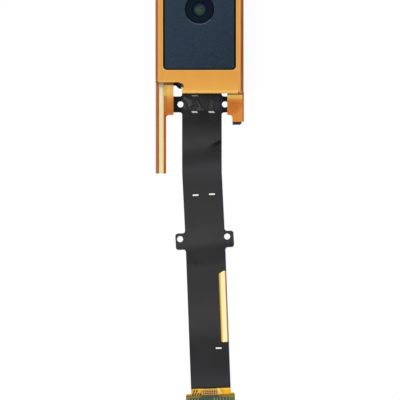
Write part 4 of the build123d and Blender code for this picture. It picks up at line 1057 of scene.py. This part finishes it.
# Gold over nickel: a pale yellow glint
bright_metal = mottled("gold_plated_line", "#F4DC78", "#ECC860", 0.1, 0.002, metallic=0.2, roughness=0.4)
# Bare copper: bright orange spots
copper_dots = mottled("bare_copper_dots", "#F2AE5C", "#E4A050", 0.1, 0.002, metallic=0.2, roughness=0.4)
slants = [leaning(COVER_END, -3.0 + step * LINE_STEP, -0.98, 50.0) for step in range(4)]
slants += [leaning(COVER_END, -2.82 + step * 1.1 * LINE_STEP, -0.5, 60.0) for step in range(2)]
glints = [leaning(COVER_END, 1.5, -0.6, -58.0)]
dots = [leaning(COVER_END, *dot) for dot in [(-1.52, -0.86, 8.0), (-2.45, -1.02, 50.0), (1.42, -1.02, -30.0)]]
for name, spots, size, corner, metal in [
    ("slanted_lines", slants, LINE_SIZE, LINE_CORNER, line_metal),
    ("bright_line", glints, BRIGHT_LINE_SIZE, LINE_CORNER, bright_metal),
    ("copper_dots", dots, DOT_SIZE, DOT_CORNER, copper_dots),
]:
    repeat_block(name, spots, flex_part, size, corner, metal)

# %% [markdown]
# ## Capacitors on the board
# Each capacitor is a dark tan ceramic block with a tin cap on either end. In the solid they are plain
# blocks. Here the same tree lays the bodies, and caps that stand a little proud of them.

# %% Lay the bodies and caps
CHIP_SIZE = Vector((0.7, 0.45, 0.35))
BODY_INSET = Vector((0.04, 0.05, 0.03))
CAP_LENGTH = 0.18
CHIP_ROW = -0.6
CHIP_PLACES = (-3.3, -2.3, 0.9, 1.9, 2.9)

# Fired ceramic, seen dark between its caps; the caps are tin, greyed by solder
ceramic = mottled(
    "fired_chip_ceramic", "#4E483C", "#3E3A30", 0.1, 0.003, roughness=0.5, specular_ior_level=0.3,
)
tin = mottled("tin_plated_caps", "#74766A", "#64665A", 0.08, 0.003, metallic=0.3, roughness=0.5)
board_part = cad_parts["connector_board"]
bodies = [leaning(BOARD_EDGE, x, CHIP_ROW) for x in CHIP_PLACES]
cap_reach = (CHIP_SIZE.x - CAP_LENGTH) / 2
caps = [leaning(BOARD_EDGE, x + end * cap_reach, CHIP_ROW) for x in CHIP_PLACES for end in (-1, 1)]
cap_size = (CAP_LENGTH, CHIP_SIZE.y, CHIP_SIZE.z)
body_size = CHIP_SIZE - BODY_INSET
chip_bodies = repeat_block("chip_bodies", bodies, board_part, body_size, 0.03, ceramic)
chip_caps = repeat_block("chip_caps", caps, board_part, cap_size, 0.04, tin)
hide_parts("connector_capacitors")
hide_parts("connector_capacitors")

# %% [markdown]
# ## Floor and light
# The photograph is cut out on white. A white floor could be had by more light, but that would wash out the
# object. The floor is instead white to the camera, to mirrors and to glass, and an ordinary pale surface to
# the light that it passes on, so it still takes the object's shadow. A large soft lamp at the upper left
# shades the waves of the tail, on top of the shade painted into its cover, and the world fills in the rest.

# %% Lay the floor
FLOOR_SIZE = 700.0
FLOOR_GAP = 0.02
FLOOR_GLOW = 0.9
# Just over 1, so that the glow and the matt share add up to white
PAPER_WHITE = 1.03


def seen_directly(tree):
    """1 for rays from the camera, mirrors and glass, and 0 for the light that falls on things."""
    rays = add(tree, "ShaderNodeLightPath").outputs
    seen = rays["Is Camera Ray"]
    for kind in ("Is Glossy Ray", "Is Transmission Ray"):
        seen = add(tree, "ShaderNodeMath", {0: seen, 1: rays[kind]}, operation="MAXIMUM")
    return seen


half = FLOOR_SIZE / 2 * MM
floor_mesh = bpy.data.meshes.new("studio_floor")
corners = [(-half, -half), (half, -half), (half, half), (-half, half)]
floor_level = cad_low.z - FLOOR_GAP * MM
floor_mesh.from_pydata([(x, y + PHOTO_CENTRE.y, floor_level) for x, y in corners], [], [(0, 1, 2, 3)])
floor = bpy.data.objects.new("studio_floor", floor_mesh)
bpy.context.collection.objects.link(floor)
paper = bpy.data.materials.new("white_paper")
paper.use_nodes = True
tree = paper.node_tree
tree.nodes.clear()
matt = add(tree, "ShaderNodeBsdfDiffuse", {"Color": "#F4F4F4"})
glow = add(tree, "ShaderNodeEmission", {"Color": "#FFFFFF", "Strength": PAPER_WHITE})
share = add(tree, "ShaderNodeMath", {0: seen_directly(tree), 1: FLOOR_GLOW}, operation="MULTIPLY")
mixed = add(tree, "ShaderNodeMixShader", {0: share, 1: matt, 2: glow})
add(tree, "ShaderNodeOutputMaterial", {"Surface": mixed})
floor_mesh.materials.append(paper)
floor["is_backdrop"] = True
print("floor lies at mm:", round(floor_level / MM, 2))

# %% Light the module
FILL_LEVEL = 0.5
LAMP_PLACE = Vector((-140.0, 30.0, 360.0)) * MM
LAMP_SIZE = 220.0
LAMP_POWER = 0.83

world = bpy.data.worlds.new("white_studio")
world.use_nodes = True
tree = world.node_tree
tree.nodes.clear()
level = {"Value": seen_directly(tree), "To Min": FILL_LEVEL, "To Max": 1.0}
level = add(tree, "ShaderNodeMapRange", level)
sky = add(tree, "ShaderNodeBackground", {"Color": "#FFFFFF", "Strength": level})
add(tree, "ShaderNodeOutputWorld", {"Surface": sky})
bpy.context.scene.world = world

lamp_data = bpy.data.lights.new("soft_lamp", "AREA")
lamp_data.energy = LAMP_POWER
lamp_data.size = LAMP_SIZE * MM
lamp = bpy.data.objects.new("soft_lamp", lamp_data)
lamp.location = PHOTO_CENTRE + LAMP_PLACE
lamp.rotation_euler = (-LAMP_PLACE).to_track_quat("-Z", "Y").to_euler()
bpy.context.collection.objects.link(lamp)
print("lamp's distance in mm:", round(LAMP_PLACE.length / MM))

# %% Print the visual size and finish
low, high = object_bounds()
print("visual size in mm:", sides(low, high))
